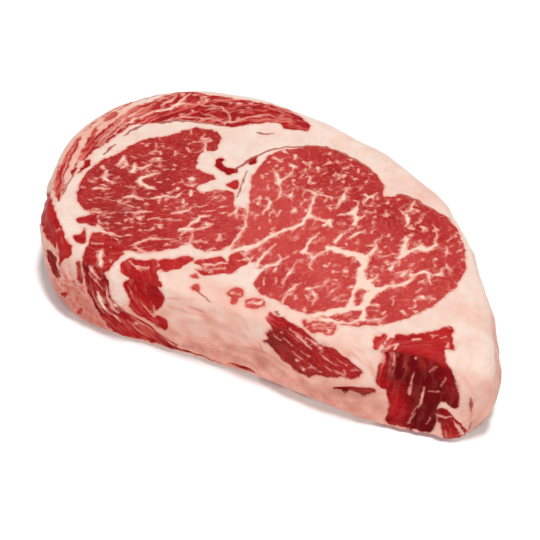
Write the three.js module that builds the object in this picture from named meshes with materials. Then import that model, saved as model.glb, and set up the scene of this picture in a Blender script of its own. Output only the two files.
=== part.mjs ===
// A raw boneless ribeye steak: one thick slice across the rib muscles, lying on its lower cut face.
// Millimetres, +Z up. The origin is on the surface it rests on, below the middle of its bounding box.
// +X runs along the slice towards the chine end, and -Y is the side that the rib bones were cut from.
import * as THREE from "three";
import { ParametricGeometry } from "three/addons/geometries/ParametricGeometry.js";

// ---- driving dimensions ----
const THICKNESS = 34; // from the lower cut face to the upper one
const MIDDLE = new THREE.Vector2(-4, 3); // where the rings of the two cut faces close
// A line along the middle of the slice. Inwards means towards the nearest point of it.
const SPINE = new THREE.Line3(new THREE.Vector3(-45, 2, 0), new THREE.Vector3(60, -14, 0));

// The rim of the slice, anticlockwise from above, from the nose at the chine end. x and y are the wall at its
// widest; crest and foot say how far inside it the upper and the lower cut face begin; shoulder and heel say how
// far down and up the wall their rounding reaches. arc is 2 for a round shoulder and near 1 for a sawn one, which
// slopes straight down from a sharp crest.
const RIM = [
  { name: "nose", x: 101.5, y: -28, crest: 9, shoulder: 16, foot: 3, heel: 7, arc: 2 },
  { name: "chine fat", x: 93.5, y: -9, crest: 8, shoulder: 15, foot: 3, heel: 8, arc: 2 },
  { name: "chine fat, back", x: 83.5, y: 6, crest: 7, shoulder: 13, foot: 3, heel: 9, arc: 2 },
  { name: "back fat", x: 70, y: 22, crest: 6, shoulder: 11, foot: 4, heel: 10, arc: 2 },
  { name: "back fat", x: 53, y: 40, crest: 6, shoulder: 10, foot: 4, heel: 10, arc: 2 },
  { name: "back fat", x: 32, y: 52, crest: 6, shoulder: 9, foot: 4, heel: 9, arc: 2 },
  { name: "back fat", x: 6, y: 59.5, crest: 5, shoulder: 8, foot: 4, heel: 9, arc: 2 },
  { name: "cap, back", x: -20, y: 63, crest: 5, shoulder: 7, foot: 4, heel: 8, arc: 2 },
  { name: "cap, back", x: -47, y: 62.5, crest: 5, shoulder: 8, foot: 4, heel: 8, arc: 2 },
  { name: "cap", x: -71.5, y: 57, crest: 5, shoulder: 9, foot: 4, heel: 8, arc: 2 },
  { name: "cap", x: -91.5, y: 42, crest: 6, shoulder: 10, foot: 4, heel: 9, arc: 2 },
  { name: "cap end", x: -101.5, y: 21.5, crest: 6, shoulder: 11, foot: 4, heel: 9, arc: 2 },
  { name: "cap end", x: -102.5, y: -4.5, crest: 6, shoulder: 12, foot: 6, heel: 11, arc: 2 },
  { name: "tail", x: -94, y: -26, crest: 8, shoulder: 15, foot: 8, heel: 14, arc: 2 },
  { name: "tail", x: -82, y: -46.5, crest: 9, shoulder: 18, foot: 5, heel: 9, arc: 2 },
  { name: "tail, rib side", x: -62, y: -57.5, crest: 9, shoulder: 20, foot: 2, heel: 5, arc: 2 },
  { name: "rib side", x: -36, y: -57, crest: 7, shoulder: 17, foot: 1.5, heel: 4, arc: 2 },
  { name: "rib side", x: -12, y: -53.5, crest: 6, shoulder: 14, foot: 1.5, heel: 4, arc: 2 },
  { name: "rib side", x: 14, y: -50.5, crest: 6, shoulder: 12, foot: 1.5, heel: 4, arc: 2 },
  { name: "rib side", x: 39, y: -49, crest: 7, shoulder: 13, foot: 1.5, heel: 4, arc: 1.8 },
  { name: "chine cut", x: 61, y: -47, crest: 8, shoulder: 18, foot: 1.5, heel: 4, arc: 1.3 },
  { name: "chine cut", x: 79, y: -43.5, crest: 10.5, shoulder: 26, foot: 1.5, heel: 4, arc: 1.2 },
  { name: "chine corner", x: 93.5, y: -37.5, crest: 11, shoulder: 22, foot: 2, heel: 4, arc: 1.7 },
];

// ---- how finely the surface is stepped ----
const STEPS_BETWEEN_STATIONS = 6;
const AROUND = STEPS_BETWEEN_STATIONS * RIM.length;
const TOP_RINGS = 13; // rings of the upper cut face
const WALL_RINGS = 16; // rings of the wall, shoulder and heel with it
const BASE_RINGS = 3; // rings of the lower cut face, which is flat
const RINGS = TOP_RINGS + WALL_RINGS + BASE_RINGS;
const SHOULDER_SHARE = 0.42; // of the wall's rings
const HEEL_SHARE = 0.24;

// ---- the rim as closed curves through its stations ----
const closedCurve = (pick) =>
  new THREE.CatmullRomCurve3(RIM.map((station) => new THREE.Vector3(...pick(station))), true, "catmullrom", 0.5);
const wallCurve = closedCurve(({ x, y }) => [x, y, 0]);
const crestCurve = closedCurve(({ crest, shoulder, arc }) => [crest, shoulder, arc]);
const footCurve = closedCurve(({ foot, heel }) => [foot, heel, 0]);

// ---- relief ----
// Each form is a smooth hump, or a hollow where its height is negative, that dies away over two half widths. lean
// is how far its line moves sideways for each millimetre along it.
const TOP_FORMS = [
  { name: "eye muscle, a little proud", height: 1.3, x: 28, y: 4, halfX: 46, halfY: 34, lean: 0 },
  { name: "inner muscle", height: 1.1, x: -50, y: -8, halfX: 34, halfY: 26, lean: 0 },
  { name: "seam between the two muscles", height: -1, x: -26, y: 10, halfX: 9, halfY: 38, lean: -0.5 },
  { name: "fat inside the cap", height: -0.9, x: -44, y: 34, halfX: 34, halfY: 7, lean: 0.3 },
  { name: "fat along the rib side", height: -0.8, x: 8, y: -44, halfX: 40, halfY: 7, lean: 0 },
];
const RIB_SIDE_FORMS = [
  { name: "bed of a rib", height: -2.2, x: 2, z: 17, halfX: 24, halfZ: 13, lean: 0 },
  { name: "inner muscle, cut flat", height: -1.4, x: -27, z: 16, halfX: 11, halfZ: 12, lean: 0 },
  { name: "ridge of fat beside it", height: 1.5, x: -42, z: 17, halfX: 5, halfZ: 14, lean: -0.25 },
  { name: "muscle from between two ribs", height: 1.3, x: 36, z: 17, halfX: 19, halfZ: 9, lean: 0 },
  { name: "ledge under it", height: 1.2, x: 48, z: 5, halfX: 26, halfZ: 4, lean: 0 },
  { name: "ridge at the chine corner", height: 1.4, x: 92, z: 16, halfX: 4, halfZ: 18, lean: -0.2 },
];
const hump = (across, along, form, halfAlong) =>
  form.height * Math.exp(-(((across - form.lean * along) / form.halfX) ** 2) - (along / halfAlong) ** 2);
// 0 below from, 1 above to, and smooth between them.
const ramp = (value, from, to) => THREE.MathUtils.smoothstep(value, from, to);

// The upper cut face: the two main muscles stand a little proud, and the seams of fat round them lie lower.
function topRelief(x, y) {
  const slackness = 0.5 * Math.sin(x / 17 + 1.1) * Math.cos(y / 13 - 0.4);
  return TOP_FORMS.reduce((sum, form) => sum + hump(x - form.x, y - form.y, form, form.halfY), slackness);
}

// The rib side: how far the wall stands out at x along the slice, at a height z.
function ribSideRelief(x, z) {
  const sawnFace = -1.8 * ramp(x, 60, 66) * (1 - ramp(x, 84 - 0.2 * z, 89 - 0.2 * z)); // where the chine came off
  return RIB_SIDE_FORMS.reduce((sum, form) => sum + hump(x - form.x, z - form.z, form, form.halfZ), sawnFace);
}

// The wall of the tail, where thin layers of cap muscle and fat come out one below the other as slanting ridges.
function tailRelief(x, y, z) {
  const along = 0.55 * x - 0.83 * y; // along the wall of the tail
  const layer = Math.sin((z + 0.28 * along + 1.5 * Math.sin(along / 11)) / 2.3);
  const overlap = (0.55 + 0.25 * Math.sin(along / 9)) * layer * ramp(z, 1, 7) * (1 - ramp(z, 22, 30));
  const slackFold = 1.4 * Math.exp(-(((along + 8) / 14) ** 2) - ((z - 9) / 5) ** 2);
  return overlap + slackFold;
}

// The fat of the back and of the chine end: broad and soft, with one crease beside the nose.
function fatRelief(x, y, z) {
  const broad = 0.5 * Math.sin(x / 13 + z / 19) * Math.cos(y / 15 + z / 11);
  const small = 0.35 * Math.sin(x / 6.1 - y / 7.3 + z / 5);
  const crease = -1.8 * Math.exp(-(((x - 97 - 0.12 * (17 - z)) / 3.2) ** 2) - ((y + 32) / 3.6) ** 2);
  return broad + small + crease * (1 - ramp(z, 16, 26));
}

// How far the wall stands out from its smooth course at a point of it.
function wallRelief(x, y, z) {
  const onRibSide = 1 - ramp(y, -44, -34);
  const onTail = (1 - ramp(x, -66, -48)) * (1 - ramp(y, -16, 8));
  const ribSide = onRibSide * (1 - onTail) * ribSideRelief(x, z);
  const tail = onTail * tailRelief(x, y, z);
  const fat = (1 - onTail) * (1 - onRibSide) * fatRelief(x, y, z);
  const corner = onRibSide * fatRelief(x, y, z) * ramp(x, 88, 94);
  return ribSide + tail + fat + corner;
}

// ---- the surface: down runs 0 to 1 from the middle of the upper cut face, out over the shoulder, down the wall
// and in again under it, and around runs 0 to 1 round the rim ----
const onCurve = (curve, around) => curve.getPoint(around % 1);

function steakSurface(down, around, target) {
  const wall = onCurve(wallCurve, around);
  const outward = wall.clone().sub(SPINE.closestPointToPoint(wall, true, new THREE.Vector3())).normalize();
  const { x: crest, y: shoulder, z: arc } = onCurve(crestCurve, around);
  const { x: foot, y: heel } = onCurve(footCurve, around);
  const ring = Math.round(down * RINGS);

  const place = (inside, z) => {
    // a point of the wall, this far inside its widest line
    const x = wall.x - outward.x * inside;
    const y = wall.y - outward.y * inside;
    const clearOfFaces = ramp(z, 0, heel) * (1 - ramp(z, THICKNESS - 0.6 * shoulder, THICKNESS));
    const out = clearOfFaces * wallRelief(x, y, z);
    return new THREE.Vector3(x + outward.x * out, y + outward.y * out, z);
  };
  const edgeTowardsMiddle = (edge, share) => {
    // a point of a cut face, on the way from its middle to its edge
    const x = THREE.MathUtils.lerp(MIDDLE.x, edge.x, share);
    const y = THREE.MathUtils.lerp(MIDDLE.y, edge.y, share);
    return new THREE.Vector3(x, y, edge.z);
  };

  if (ring <= TOP_RINGS) {
    const share = Math.sin((ring / TOP_RINGS) * (Math.PI / 2)) ** 0.9; // closer together near the edge
    const point = edgeTowardsMiddle(place(crest, THICKNESS), share);
    target.copy(point);
    target.z += topRelief(point.x, point.y);
  } else if (ring <= TOP_RINGS + WALL_RINGS) {
    const share = (ring - TOP_RINGS) / WALL_RINGS;
    if (share < SHOULDER_SHARE) {
      const angle = (share / SHOULDER_SHARE) * (Math.PI / 2);
      const inward = 1 - Math.sin(angle) ** (2 / arc);
      const downward = 1 - Math.max(Math.cos(angle), 0) ** (2 / arc);
      target.copy(place(crest * inward, THICKNESS - shoulder * downward));
      const atCrest = place(crest, THICKNESS);
      target.z += topRelief(atCrest.x, atCrest.y) * Math.cos(angle);
    } else if (share < 1 - HEEL_SHARE) {
      const fall = (share - SHOULDER_SHARE) / (1 - SHOULDER_SHARE - HEEL_SHARE);
      target.copy(place(0, THREE.MathUtils.lerp(THICKNESS - shoulder, heel, fall)));
    } else {
      const angle = ((share - 1 + HEEL_SHARE) / HEEL_SHARE) * (Math.PI / 2);
      target.copy(place(foot * (1 - Math.cos(angle)), heel * (1 - Math.sin(angle))));
    }
  } else {
    const share = 1 - (ring - TOP_RINGS - WALL_RINGS) / BASE_RINGS;
    target.copy(edgeTowardsMiddle(place(foot, 0), share));
  }
}

// ---- the slice ----
function steakMesh() {
  const surface = new ParametricGeometry(steakSurface, RINGS, AROUND);
  surface.computeBoundingBox();
  const centre = surface.boundingBox.getCenter(new THREE.Vector3());
  surface.translate(-centre.x, -centre.y, 0);
  const rawBeef = new THREE.MeshStandardMaterial({ color: 0xb5363c, roughness: 0.42, metalness: 0 });
  const mesh = new THREE.Mesh(surface, rawBeef);
  mesh.name = "steak";
  return mesh;
}

const ribeye = new THREE.Group();
ribeye.add(steakMesh());
export default ribeye;
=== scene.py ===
import math

import bmesh
import bpy
import numpy as np
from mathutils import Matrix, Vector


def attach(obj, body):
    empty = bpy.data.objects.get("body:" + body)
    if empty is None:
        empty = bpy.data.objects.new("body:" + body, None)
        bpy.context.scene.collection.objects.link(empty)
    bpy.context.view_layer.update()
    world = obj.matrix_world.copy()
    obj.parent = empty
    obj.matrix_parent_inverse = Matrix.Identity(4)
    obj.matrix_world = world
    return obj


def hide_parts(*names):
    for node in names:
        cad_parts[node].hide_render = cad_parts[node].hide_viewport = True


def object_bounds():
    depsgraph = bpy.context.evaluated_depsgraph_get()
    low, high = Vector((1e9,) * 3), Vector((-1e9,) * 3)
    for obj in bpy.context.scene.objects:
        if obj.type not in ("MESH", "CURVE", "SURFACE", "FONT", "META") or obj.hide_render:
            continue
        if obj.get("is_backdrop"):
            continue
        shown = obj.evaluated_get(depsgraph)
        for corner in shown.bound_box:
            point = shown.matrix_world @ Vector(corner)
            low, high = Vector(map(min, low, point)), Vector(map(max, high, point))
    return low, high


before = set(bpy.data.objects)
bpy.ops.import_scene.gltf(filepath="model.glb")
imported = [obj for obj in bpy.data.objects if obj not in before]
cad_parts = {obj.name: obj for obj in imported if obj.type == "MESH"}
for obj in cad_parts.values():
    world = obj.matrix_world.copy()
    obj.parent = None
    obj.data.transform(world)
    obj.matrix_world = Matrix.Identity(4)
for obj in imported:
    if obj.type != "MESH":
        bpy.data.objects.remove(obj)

cad_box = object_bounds()

# ---- The slice -------------------------------------------------------------------------------------
# One piece of raw beef, cut straight across the rib muscles with a long knife. The chine bone was sawn
# off one corner and the ribs were cut away in front, so that side shows the fat that lay on them.
MM = 0.001
FACE_SIZE = 1.4 * MM  # even faces of the lower cut face; everywhere else they are half as large
SAME_CORNER = 0.01 * MM  # loose triangles whose corners are this close share them
ROUNDING_ROUNDS = 4
EVENING_ROUNDS = 2
LYING = 0.5 * MM  # what is lower than this lies flat


def dense_copy(node):
    """The solid's mesh with its loose triangles merged, rounded once and covered in even faces."""
    cast = bpy.data.objects.new("cast", node.data.copy())
    bpy.context.collection.objects.link(cast)
    merged = bmesh.new()
    merged.from_mesh(cast.data)
    bmesh.ops.remove_doubles(merged, verts=merged.verts, dist=SAME_CORNER)
    merged.to_mesh(cast.data)
    merged.free()
    rounding = cast.modifiers.new("Rounding", "SUBSURF")
    rounding.levels = rounding.render_levels = 2
    even = cast.modifiers.new("Even faces", "REMESH")
    even.mode = "VOXEL"
    even.voxel_size = FACE_SIZE
    even.use_smooth_shade = True
    graph = bpy.context.evaluated_depsgraph_get()
    mesh = bpy.data.meshes.new_from_object(cast.evaluated_get(graph))
    bpy.data.objects.remove(cast)
    mesh.name = "ribeye_steak"
    return mesh


def smooth(shape, rounds):
    """Moves each vertex half way to the middle of its neighbours, this many times."""
    for _ in range(rounds):
        bmesh.ops.smooth_vert(
            shape, verts=shape.verts, factor=0.5, use_axis_x=True, use_axis_y=True, use_axis_z=True
        )


slice_mesh = dense_copy(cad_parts["steak"])
shape = bmesh.new()
shape.from_mesh(slice_mesh)
smooth(shape, ROUNDING_ROUNDS)
upper_edges = [edge for edge in shape.edges if max(vert.co.z for vert in edge.verts) > 0.9 * FACE_SIZE]
bmesh.ops.subdivide_edges(shape, edges=upper_edges, cuts=1, use_grid_fill=True)
smooth(shape, EVENING_ROUNDS)
for vert in shape.verts:
    if vert.co.z < LYING:
        vert.co.z = 0.0
for face in shape.faces:
    face.smooth = True
shape.to_mesh(slice_mesh)
shape.free()
steak = bpy.data.objects.new("ribeye_steak", slice_mesh)
bpy.context.collection.objects.link(steak)

place = np.empty(3 * len(slice_mesh.vertices))
slice_mesh.vertices.foreach_get("co", place)
place = place.reshape(-1, 3) / MM
facing = np.empty(3 * len(slice_mesh.vertices))
slice_mesh.vertices.foreach_get("normal", facing)
facing = facing.reshape(-1, 3)
x, y, z = place.T


def ramp(value, low, high):
    """0 at low, 1 at high, and smooth between them."""
    share = np.clip((value - low) / (high - low), 0, 1)
    return share * share * (3 - 2 * share)


# ---- The wall's own coordinates --------------------------------------------------------------------
# Round the wall, places are given by the run: millimetres along it, anticlockwise from above, starting at
# the end of the cap muscle. The rib side runs from 105 to 205, the sawn chine face from 205 to 235, and
# the nose is at 245. The run is negative along the back of the cap.
WALL_HEIGHT = 15  # millimetres above the lower cut face, where the run is measured
LINE_WIDTH = 1.5  # millimetres above and below that height that count as on the line
UPRIGHT = 0.8  # the wall faces no more steeply up or down than this
SECTORS = 180

turn = np.arctan2(y, x)
reach = np.hypot(x, y)
sector_turn = np.linspace(-math.pi, math.pi, SECTORS + 1)
on_wall_line = (np.abs(z - WALL_HEIGHT) < LINE_WIDTH) & (np.abs(facing[:, 2]) < UPRIGHT)
order = np.argsort(turn[on_wall_line])
sector_reach = np.interp(
    sector_turn, turn[on_wall_line][order], reach[on_wall_line][order], period=2 * math.pi
)
strides = np.hypot(
    np.diff(sector_reach * np.cos(sector_turn)), np.diff(sector_reach * np.sin(sector_turn))
)
sector_run = np.concatenate([[0], np.cumsum(strides)])
run = np.interp(turn, sector_turn, sector_run)
run = np.where(turn > math.pi / 2, run - sector_run[-1], run)

# the solid's wall is flat between its stations; round the back of the slice it bends evenly instead
BEND = 9  # sectors on each side that are evened out together
bend_shares = np.hanning(2 * BEND + 3)[1:-1]
round_and_round = np.concatenate([sector_reach[-BEND - 1 : -1], sector_reach, sector_reach[1 : BEND + 1]])
even_reach = np.convolve(round_and_round, bend_shares / bend_shares.sum(), "valid")
bulge = np.interp(turn, sector_turn, even_reach - sector_reach) * ramp(turn, -0.25, 0.05)  # the back only
sideways = ramp(np.hypot(facing[:, 0], facing[:, 1]), 0.1, 0.6)
place[:, :2] += (bulge * sideways / reach.clip(1))[:, None] * place[:, :2]


def patch(view, middle, extent):
    """How much each place belongs to a patch: 1 at its middle, fading away over its extent both ways."""
    return np.exp(-(((view - np.array(middle)) / np.array(extent)) ** 2).sum(1))


BOX_MARGIN = 0.02  # millimetres that every place keeps from the sides of the solid's box
FULLNESS = [
    # run, height, how far it reaches each way, then how far the wall stands out or is pulled in
    (376, 31, 8, 12, 1.3), (-96, 32, 8, 12, 0.9), (-71, 32, 8, 12, -0.6), (-38, 32, 14, 12, 0.6),
    (3, 31, 10, 10, -0.5), (26, 26, 6, 8, 0.9), (42, 25, 9, 8, 1.7), (55, 10, 9, 8, -1.1),
    (92, 1, 12, 6, 0.7), (207, 2, 6, 5, 0.8), (219, 0, 7, 5, 1.2), (233, 1, 6, 6, 1.9),
    (247, 1, 8, 9, -3.6), (259, 17, 6, 8, 0.7), (172, 0, 24, 6, -1.4),
]
wall_view = np.stack([run, z], 1)
fullness = sum(amount * patch(wall_view, sizes[:2], sizes[2:]) for *sizes, amount in FULLNESS)
place[:, :2] += (fullness * sideways)[:, None] * facing[:, :2]
low_corner, high_corner = (np.array(corner) / MM for corner in cad_box)
place = np.clip(place, low_corner + BOX_MARGIN, high_corner - BOX_MARGIN)
x, y, z = place.T

# a place belongs to a cut face by how much it faces up or down, and to the wall by what is left
on_top = ramp(facing[:, 2], 0.42, 0.72) * (z > WALL_HEIGHT)
on_base = ramp(-facing[:, 2], 0.5, 0.85) * (z < WALL_HEIGHT)
on_side = (1 - on_top) * (1 - on_base)
WAVE_COUNT = 9  # waves that are added up in one field


def waves(points, size, seed):
    """A smooth random field of about -1 to 1, with hills and hollows of this size in millimetres."""
    drawn = np.random.default_rng(seed)
    total = np.zeros(len(points))
    for _ in range(WAVE_COUNT):
        course = drawn.normal(size=points.shape[1])
        course *= 2 * math.pi / (size * drawn.uniform(0.8, 1.7) * np.linalg.norm(course))
        total += np.sin(points @ course + drawn.uniform(0, 2 * math.pi))
    return total / 4


top_view = np.stack([x, y], 1)
wall_view = np.stack([run, z], 1)
DRIFT, DRIFT_SIZE = 3.5, 45  # millimetres that the muscles shift on their way down, and over what width
base_view = top_view + DRIFT * np.stack([waves(top_view, DRIFT_SIZE, seed) for seed in (1, 2)], 1)

# ---- Lean and fat: the muscles ---------------------------------------------------------------------
# A rib eye has the long eye muscle, a second muscle on its inner side and the thin cap round the back of
# that one, all parted by fat. tone runs from 0, bright and moist, to 1, dark. The grain is the way that
# marbling runs: at an angle in degrees, in rings round a point, or fanning out of one.
TOP_MUSCLES = [
    # name, tone, how much marbling, how much it lies in strands, grain, then its outline
    ("eye muscle", 0.2, 1.0, 0.0, ("fan", 20, -100), [
        (-22.5, 17), (-23, 24), (-22, 30), (-18, 35.5), (-13, 40), (-6, 43.3), (2, 43.7), (10, 42.2),
        (17, 40), (22, 37), (26, 32.5), (28.5, 28.6), (31, 28.8), (33, 31.8), (39, 32), (47, 30.6),
        (54, 29.5), (60, 25.8), (65, 20.5), (69, 14.5), (72, 7), (72.6, 0), (71.3, -8), (69.3, -16),
        (65, -23.5), (60.5, -30), (56.5, -34.5), (51, -37.6), (44, -40.4), (38, -41), (31, -41.2),
        (24, -40.8), (17, -40.2), (11, -39.6), (8, -36.5), (7.8, -32.5), (8.2, -29), (5.5, -30),
        (3.4, -28.2), (1.6, -28.4), (-0.5, -26.6), (-3, -26), (-5.5, -26.8), (-8.2, -25.6), (-8.9, -19),
        (-10.2, -12), (-12.6, -6), (-15.4, -0.5), (-18, 4.5), (-20.6, 9), (-22, 13),
    ]),
    ("inner muscle", 0.47, 1.0, 0.0, ("ring", -85, 40), [
        (-50, 30.6), (-46.8, 29.3), (-44.6, 26.5), (-43.6, 22.5), (-43.2, 19.3), (-46, 17.2), (-47, 14),
        (-45.4, 10), (-44.4, 6.4), (-41, 5.6), (-37, 6), (-33.8, 5), (-35, 2), (-37, -1.5), (-37.5, -4),
        (-34, -4.6), (-31, -1.8), (-28, 0.2), (-24.5, 1.6), (-22, -0.4), (-20.3, -4), (-17.5, -5),
        (-14.2, -4.6), (-12, -8), (-10.2, -13), (-9.3, -18), (-9.4, -23), (-11, -28.5), (-14.5, -31),
        (-18, -32.8), (-22, -31.4), (-24.6, -34), (-27, -37.8), (-30, -41), (-33, -43.6), (-37, -45.6),
        (-41, -46.2), (-44.4, -45), (-48, -43.2), (-54, -42.2), (-57.6, -40.8), (-58.6, -38.4),
        (-63, -36.6), (-68, -36), (-72.5, -33.8), (-76.5, -29), (-79, -22), (-80, -15), (-79, -9),
        (-76, -3), (-74.3, 4), (-72.5, 9.5), (-68, 14.5), (-64, 19.5), (-61, 24.5), (-56.5, 28.5),
    ]),
    ("cap", 0.4, 0.35, 1.0, ("ring", -10, 0), [
        (-16.6, 49.6), (-19, 53.6), (-25, 56.4), (-33, 57.2), (-41, 56.6), (-46, 55.4), (-50, 53.8),
        (-55, 52.2), (-60, 50.6), (-65, 49), (-72, 48), (-75.4, 46.6), (-78.4, 44.2), (-80.6, 41),
        (-82, 37.6), (-84.2, 34), (-86.2, 30), (-87.8, 25), (-88.8, 19), (-89.4, 12), (-89.8, 5),
        (-89.4, -2), (-88.2, -8), (-86.4, -13), (-85, -12), (-85, -6), (-83.8, -1), (-83.2, 5),
        (-82.6, 10), (-81.8, 14.6), (-80.6, 17.4), (-78, 19.4), (-75, 21.4), (-72.6, 24.2),
        (-69.4, 27.4), (-65, 30), (-60, 31.8), (-54.6, 33.8), (-50, 35), (-47, 35.6), (-44, 37.4),
        (-41, 40), (-37, 43.2), (-33, 45.6), (-28.2, 47.2), (-26.2, 45.4), (-23, 46.3), (-20, 48),
    ]),
    ("outermost strip", 0.45, 0.2, 0.8, ("ring", -10, 0), [
        (-92.6, 20), (-90.8, 19.6), (-90.4, 16.4), (-91, 13.2), (-92.4, 12), (-93.8, 13.6), (-93.6, 17),
    ]),
    ("outermost strip", 0.4, 0.2, 0.8, ("ring", -10, 0), [
        (-92.8, 6.4), (-91.4, 5.6), (-90, 0), (-88.6, -4.6), (-86.2, -10.4), (-87.6, -10), (-90, -5),
        (-92, 0.6),
    ]),
    ("outermost strip", 0.32, 0.2, 0.9, ("ring", -10, 0), [
        (-95.4, -0.6), (-93.8, -3), (-91.8, -8.4), (-90.4, -14), (-87.8, -20), (-85.2, -26),
        (-82, -31.6), (-80, -36.2), (-82.6, -35), (-86.8, -29.6), (-90.4, -22.6), (-93.2, -14.4),
        (-95.4, -6),
    ]),
    ("small lean in the fat", 0.6, 0.0, 0.2, ("angle", -80), [
        (-84.4, -12.6), (-83, -11.4), (-81.6, -12.6), (-81.6, -15.4), (-82.2, -19.6), (-83, -18),
        (-83.8, -15.2),
    ]),
    ("small lean in the fat", 0.6, 0.0, 0.2, ("angle", -80), [
        (-85.6, -17.6), (-84.6, -17.4), (-83.6, -20), (-83.4, -22.6), (-84.6, -21.6), (-85.4, -19.6),
    ]),
    ("tail shoulder", 0.3, 0.1, 0.4, ("angle", -42), [
        (-95, -22), (-91, -28.6), (-86, -34), (-80, -39.4), (-74.8, -44.2), (-69, -48.6),
        (-64.6, -51.8), (-60.4, -55), (-61, -58.4), (-67, -59), (-75, -57), (-83, -51), (-90, -42),
        (-96, -31),
    ]),
    ("lean in the fat", 0.72, 0.0, 0.0, ("ring", -36, 20), [
        (-38.6, 17), (-39.6, 14.4), (-37.6, 11), (-33.5, 9.6), (-30, 10.2), (-29.2, 14.4), (-31.4, 14),
        (-34.4, 13.2), (-36.4, 14.6), (-37.2, 16.6),
    ]),
    ("lean in the seam", 0.3, 0.2, 0.0, ("fan", -30, -30), [
        (-26.4, 9), (-28.4, 5.6), (-28.6, 3.4), (-26, 2.8), (-23.8, 4), (-24.6, 7),
    ]),
    ("lean in the seam", 0.6, 0.0, 0.0, ("fan", -27, 0), [
        (-27, 24.8), (-28.4, 21), (-26.8, 19.2), (-25.4, 22),
    ]),
    ("foot of the eye", 0.25, 0.5, 0.2, ("ring", 0, -20), [
        (-6.4, -27.8), (-3.4, -26.4), (-0.8, -27.2), (0.8, -29.6), (-0.2, -33), (-1.4, -36.2),
        (-4.4, -38.6), (-6.6, -40.6), (-10.6, -42.4), (-13.8, -41.6), (-12.4, -39.8), (-15.4, -39.4),
        (-15.6, -36.8), (-12.4, -33.6), (-9.8, -31.4), (-7.2, -31.6), (-6, -32.6), (-6.4, -30.4),
    ]),
    ("rib lean", 0.35, 0.25, 0.3, ("ring", 0, -20), [
        (-17, -37.6), (-19.8, -37.4), (-24, -41), (-28.6, -44.6), (-33, -47.2), (-37, -48.8),
        (-39.2, -51.6), (-38.6, -54.8), (-36, -57), (-28, -56), (-20.4, -54), (-24, -51), (-25.2, -48),
        (-22.4, -48.2), (-20, -44.4), (-18, -40.6),
    ]),
    ("rib lean", 0.1, 1.6, 0.0, ("ring", 0, -20), [
        (-14, -45), (-12.6, -43.6), (-10.8, -44.2), (-12.2, -45.4),
    ]),
    ("rib lean", 0.1, 1.8, 0.0, ("ring", 0, -20), [
        (-11, -50), (-9.6, -47.6), (-7.4, -48.6), (-7.6, -50.4),
    ]),
    ("rib lean", 0.05, 1.8, 0.0, ("ring", 0, -20), [
        (1.4, -44.4), (3.2, -41.8), (6.8, -41.4), (8.2, -44), (7, -46.6), (7.4, -48.8), (5.4, -49),
        (4.6, -46.8), (2.6, -46.2),
    ]),
    ("rib lean", 0.05, 1.8, 0.0, ("ring", 0, -20), [
        (9.6, -45.6), (11.2, -43), (14.8, -42.2), (17, -43.4), (15, -46.8), (11.6, -47.8),
    ]),
    ("tail lean", 0.45, 0.3, 0.2, ("ring", -85, 40), [
        (-67.4, -42.6), (-66.6, -40), (-65, -37.4), (-62, -36.8), (-59.6, -38.4), (-58, -40.8),
        (-60, -42.6), (-63, -41.8), (-65.4, -43),
    ]),
    ("tail lean", 0.5, 0.1, 0.2, ("ring", -85, 40), [
        (-61.8, -45), (-60.2, -45.2), (-58.4, -48.2), (-57.2, -51), (-59.4, -52), (-63.2, -50),
        (-61.4, -48),
    ]),
    ("tail lean", 0.45, 0.3, 0.3, ("ring", -85, 40), [
        (-57.2, -45.2), (-55.4, -43.4), (-51, -43.2), (-46, -44), (-42.6, -45.2), (-41, -48),
        (-41.2, -51), (-41.6, -54), (-42.4, -59), (-48, -60), (-54, -60), (-54.8, -55), (-55.2, -51),
        (-56.6, -48),
    ]),
    ("eye islands", 0.3, 0.4, 0.0, ("fan", 20, -100), [
        (41.6, -37.2), (42.8, -34.6), (45, -32.8), (46.6, -31.2), (48.6, -31.6), (49.4, -35),
        (47, -37.6), (44, -38.8),
    ]),
    ("eye islands", 0.15, 1.0, 0.0, ("fan", 20, -100), [
        (32.4, -44.6), (35.6, -43), (38, -41), (41, -40), (43.6, -40.6), (45, -42.4), (44.2, -44.8),
        (40, -46), (37, -47.2), (34, -46),
    ]),
    ("rib muscle at the rim", 0.45, 0.3, 0.8, ("angle", 0), [
        (19.6, -46.2), (22.6, -46.2), (27, -46.4), (32, -47), (37, -47.8), (45, -48.6), (53, -48.4),
        (60, -48.8), (56, -52), (40, -55), (28, -55), (21, -49.6),
    ]),
    ("chine muscle", 0.34, 0.2, 0.2, ("angle", 35), [
        (63.8, -34.8), (67.6, -32.6), (71.6, -29), (75.4, -25), (78.6, -21), (80.6, -22.6), (81, -25),
        (83.6, -28), (84.2, -30.6), (82, -32.2), (83, -35), (88, -39.6), (92.6, -41.6), (90, -47),
        (78, -52), (64, -52), (62.6, -47), (64.6, -43.6), (66.4, -40), (65.2, -37),
    ]),
    ("chine lean beside it", 0.1, 0.1, 0.6, ("angle", 80), [
        (58.2, -40.6), (59.4, -36.8), (61.6, -36.8), (62, -40.6), (60.8, -44),
    ]),
    ("chine lean beside it", 0.15, 0.1, 0.6, ("angle", 80), [
        (62.8, -41), (62.8, -37.4), (64.8, -36.8), (66, -40.4), (64.6, -44.6), (63, -45.4),
    ]),
]
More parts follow.
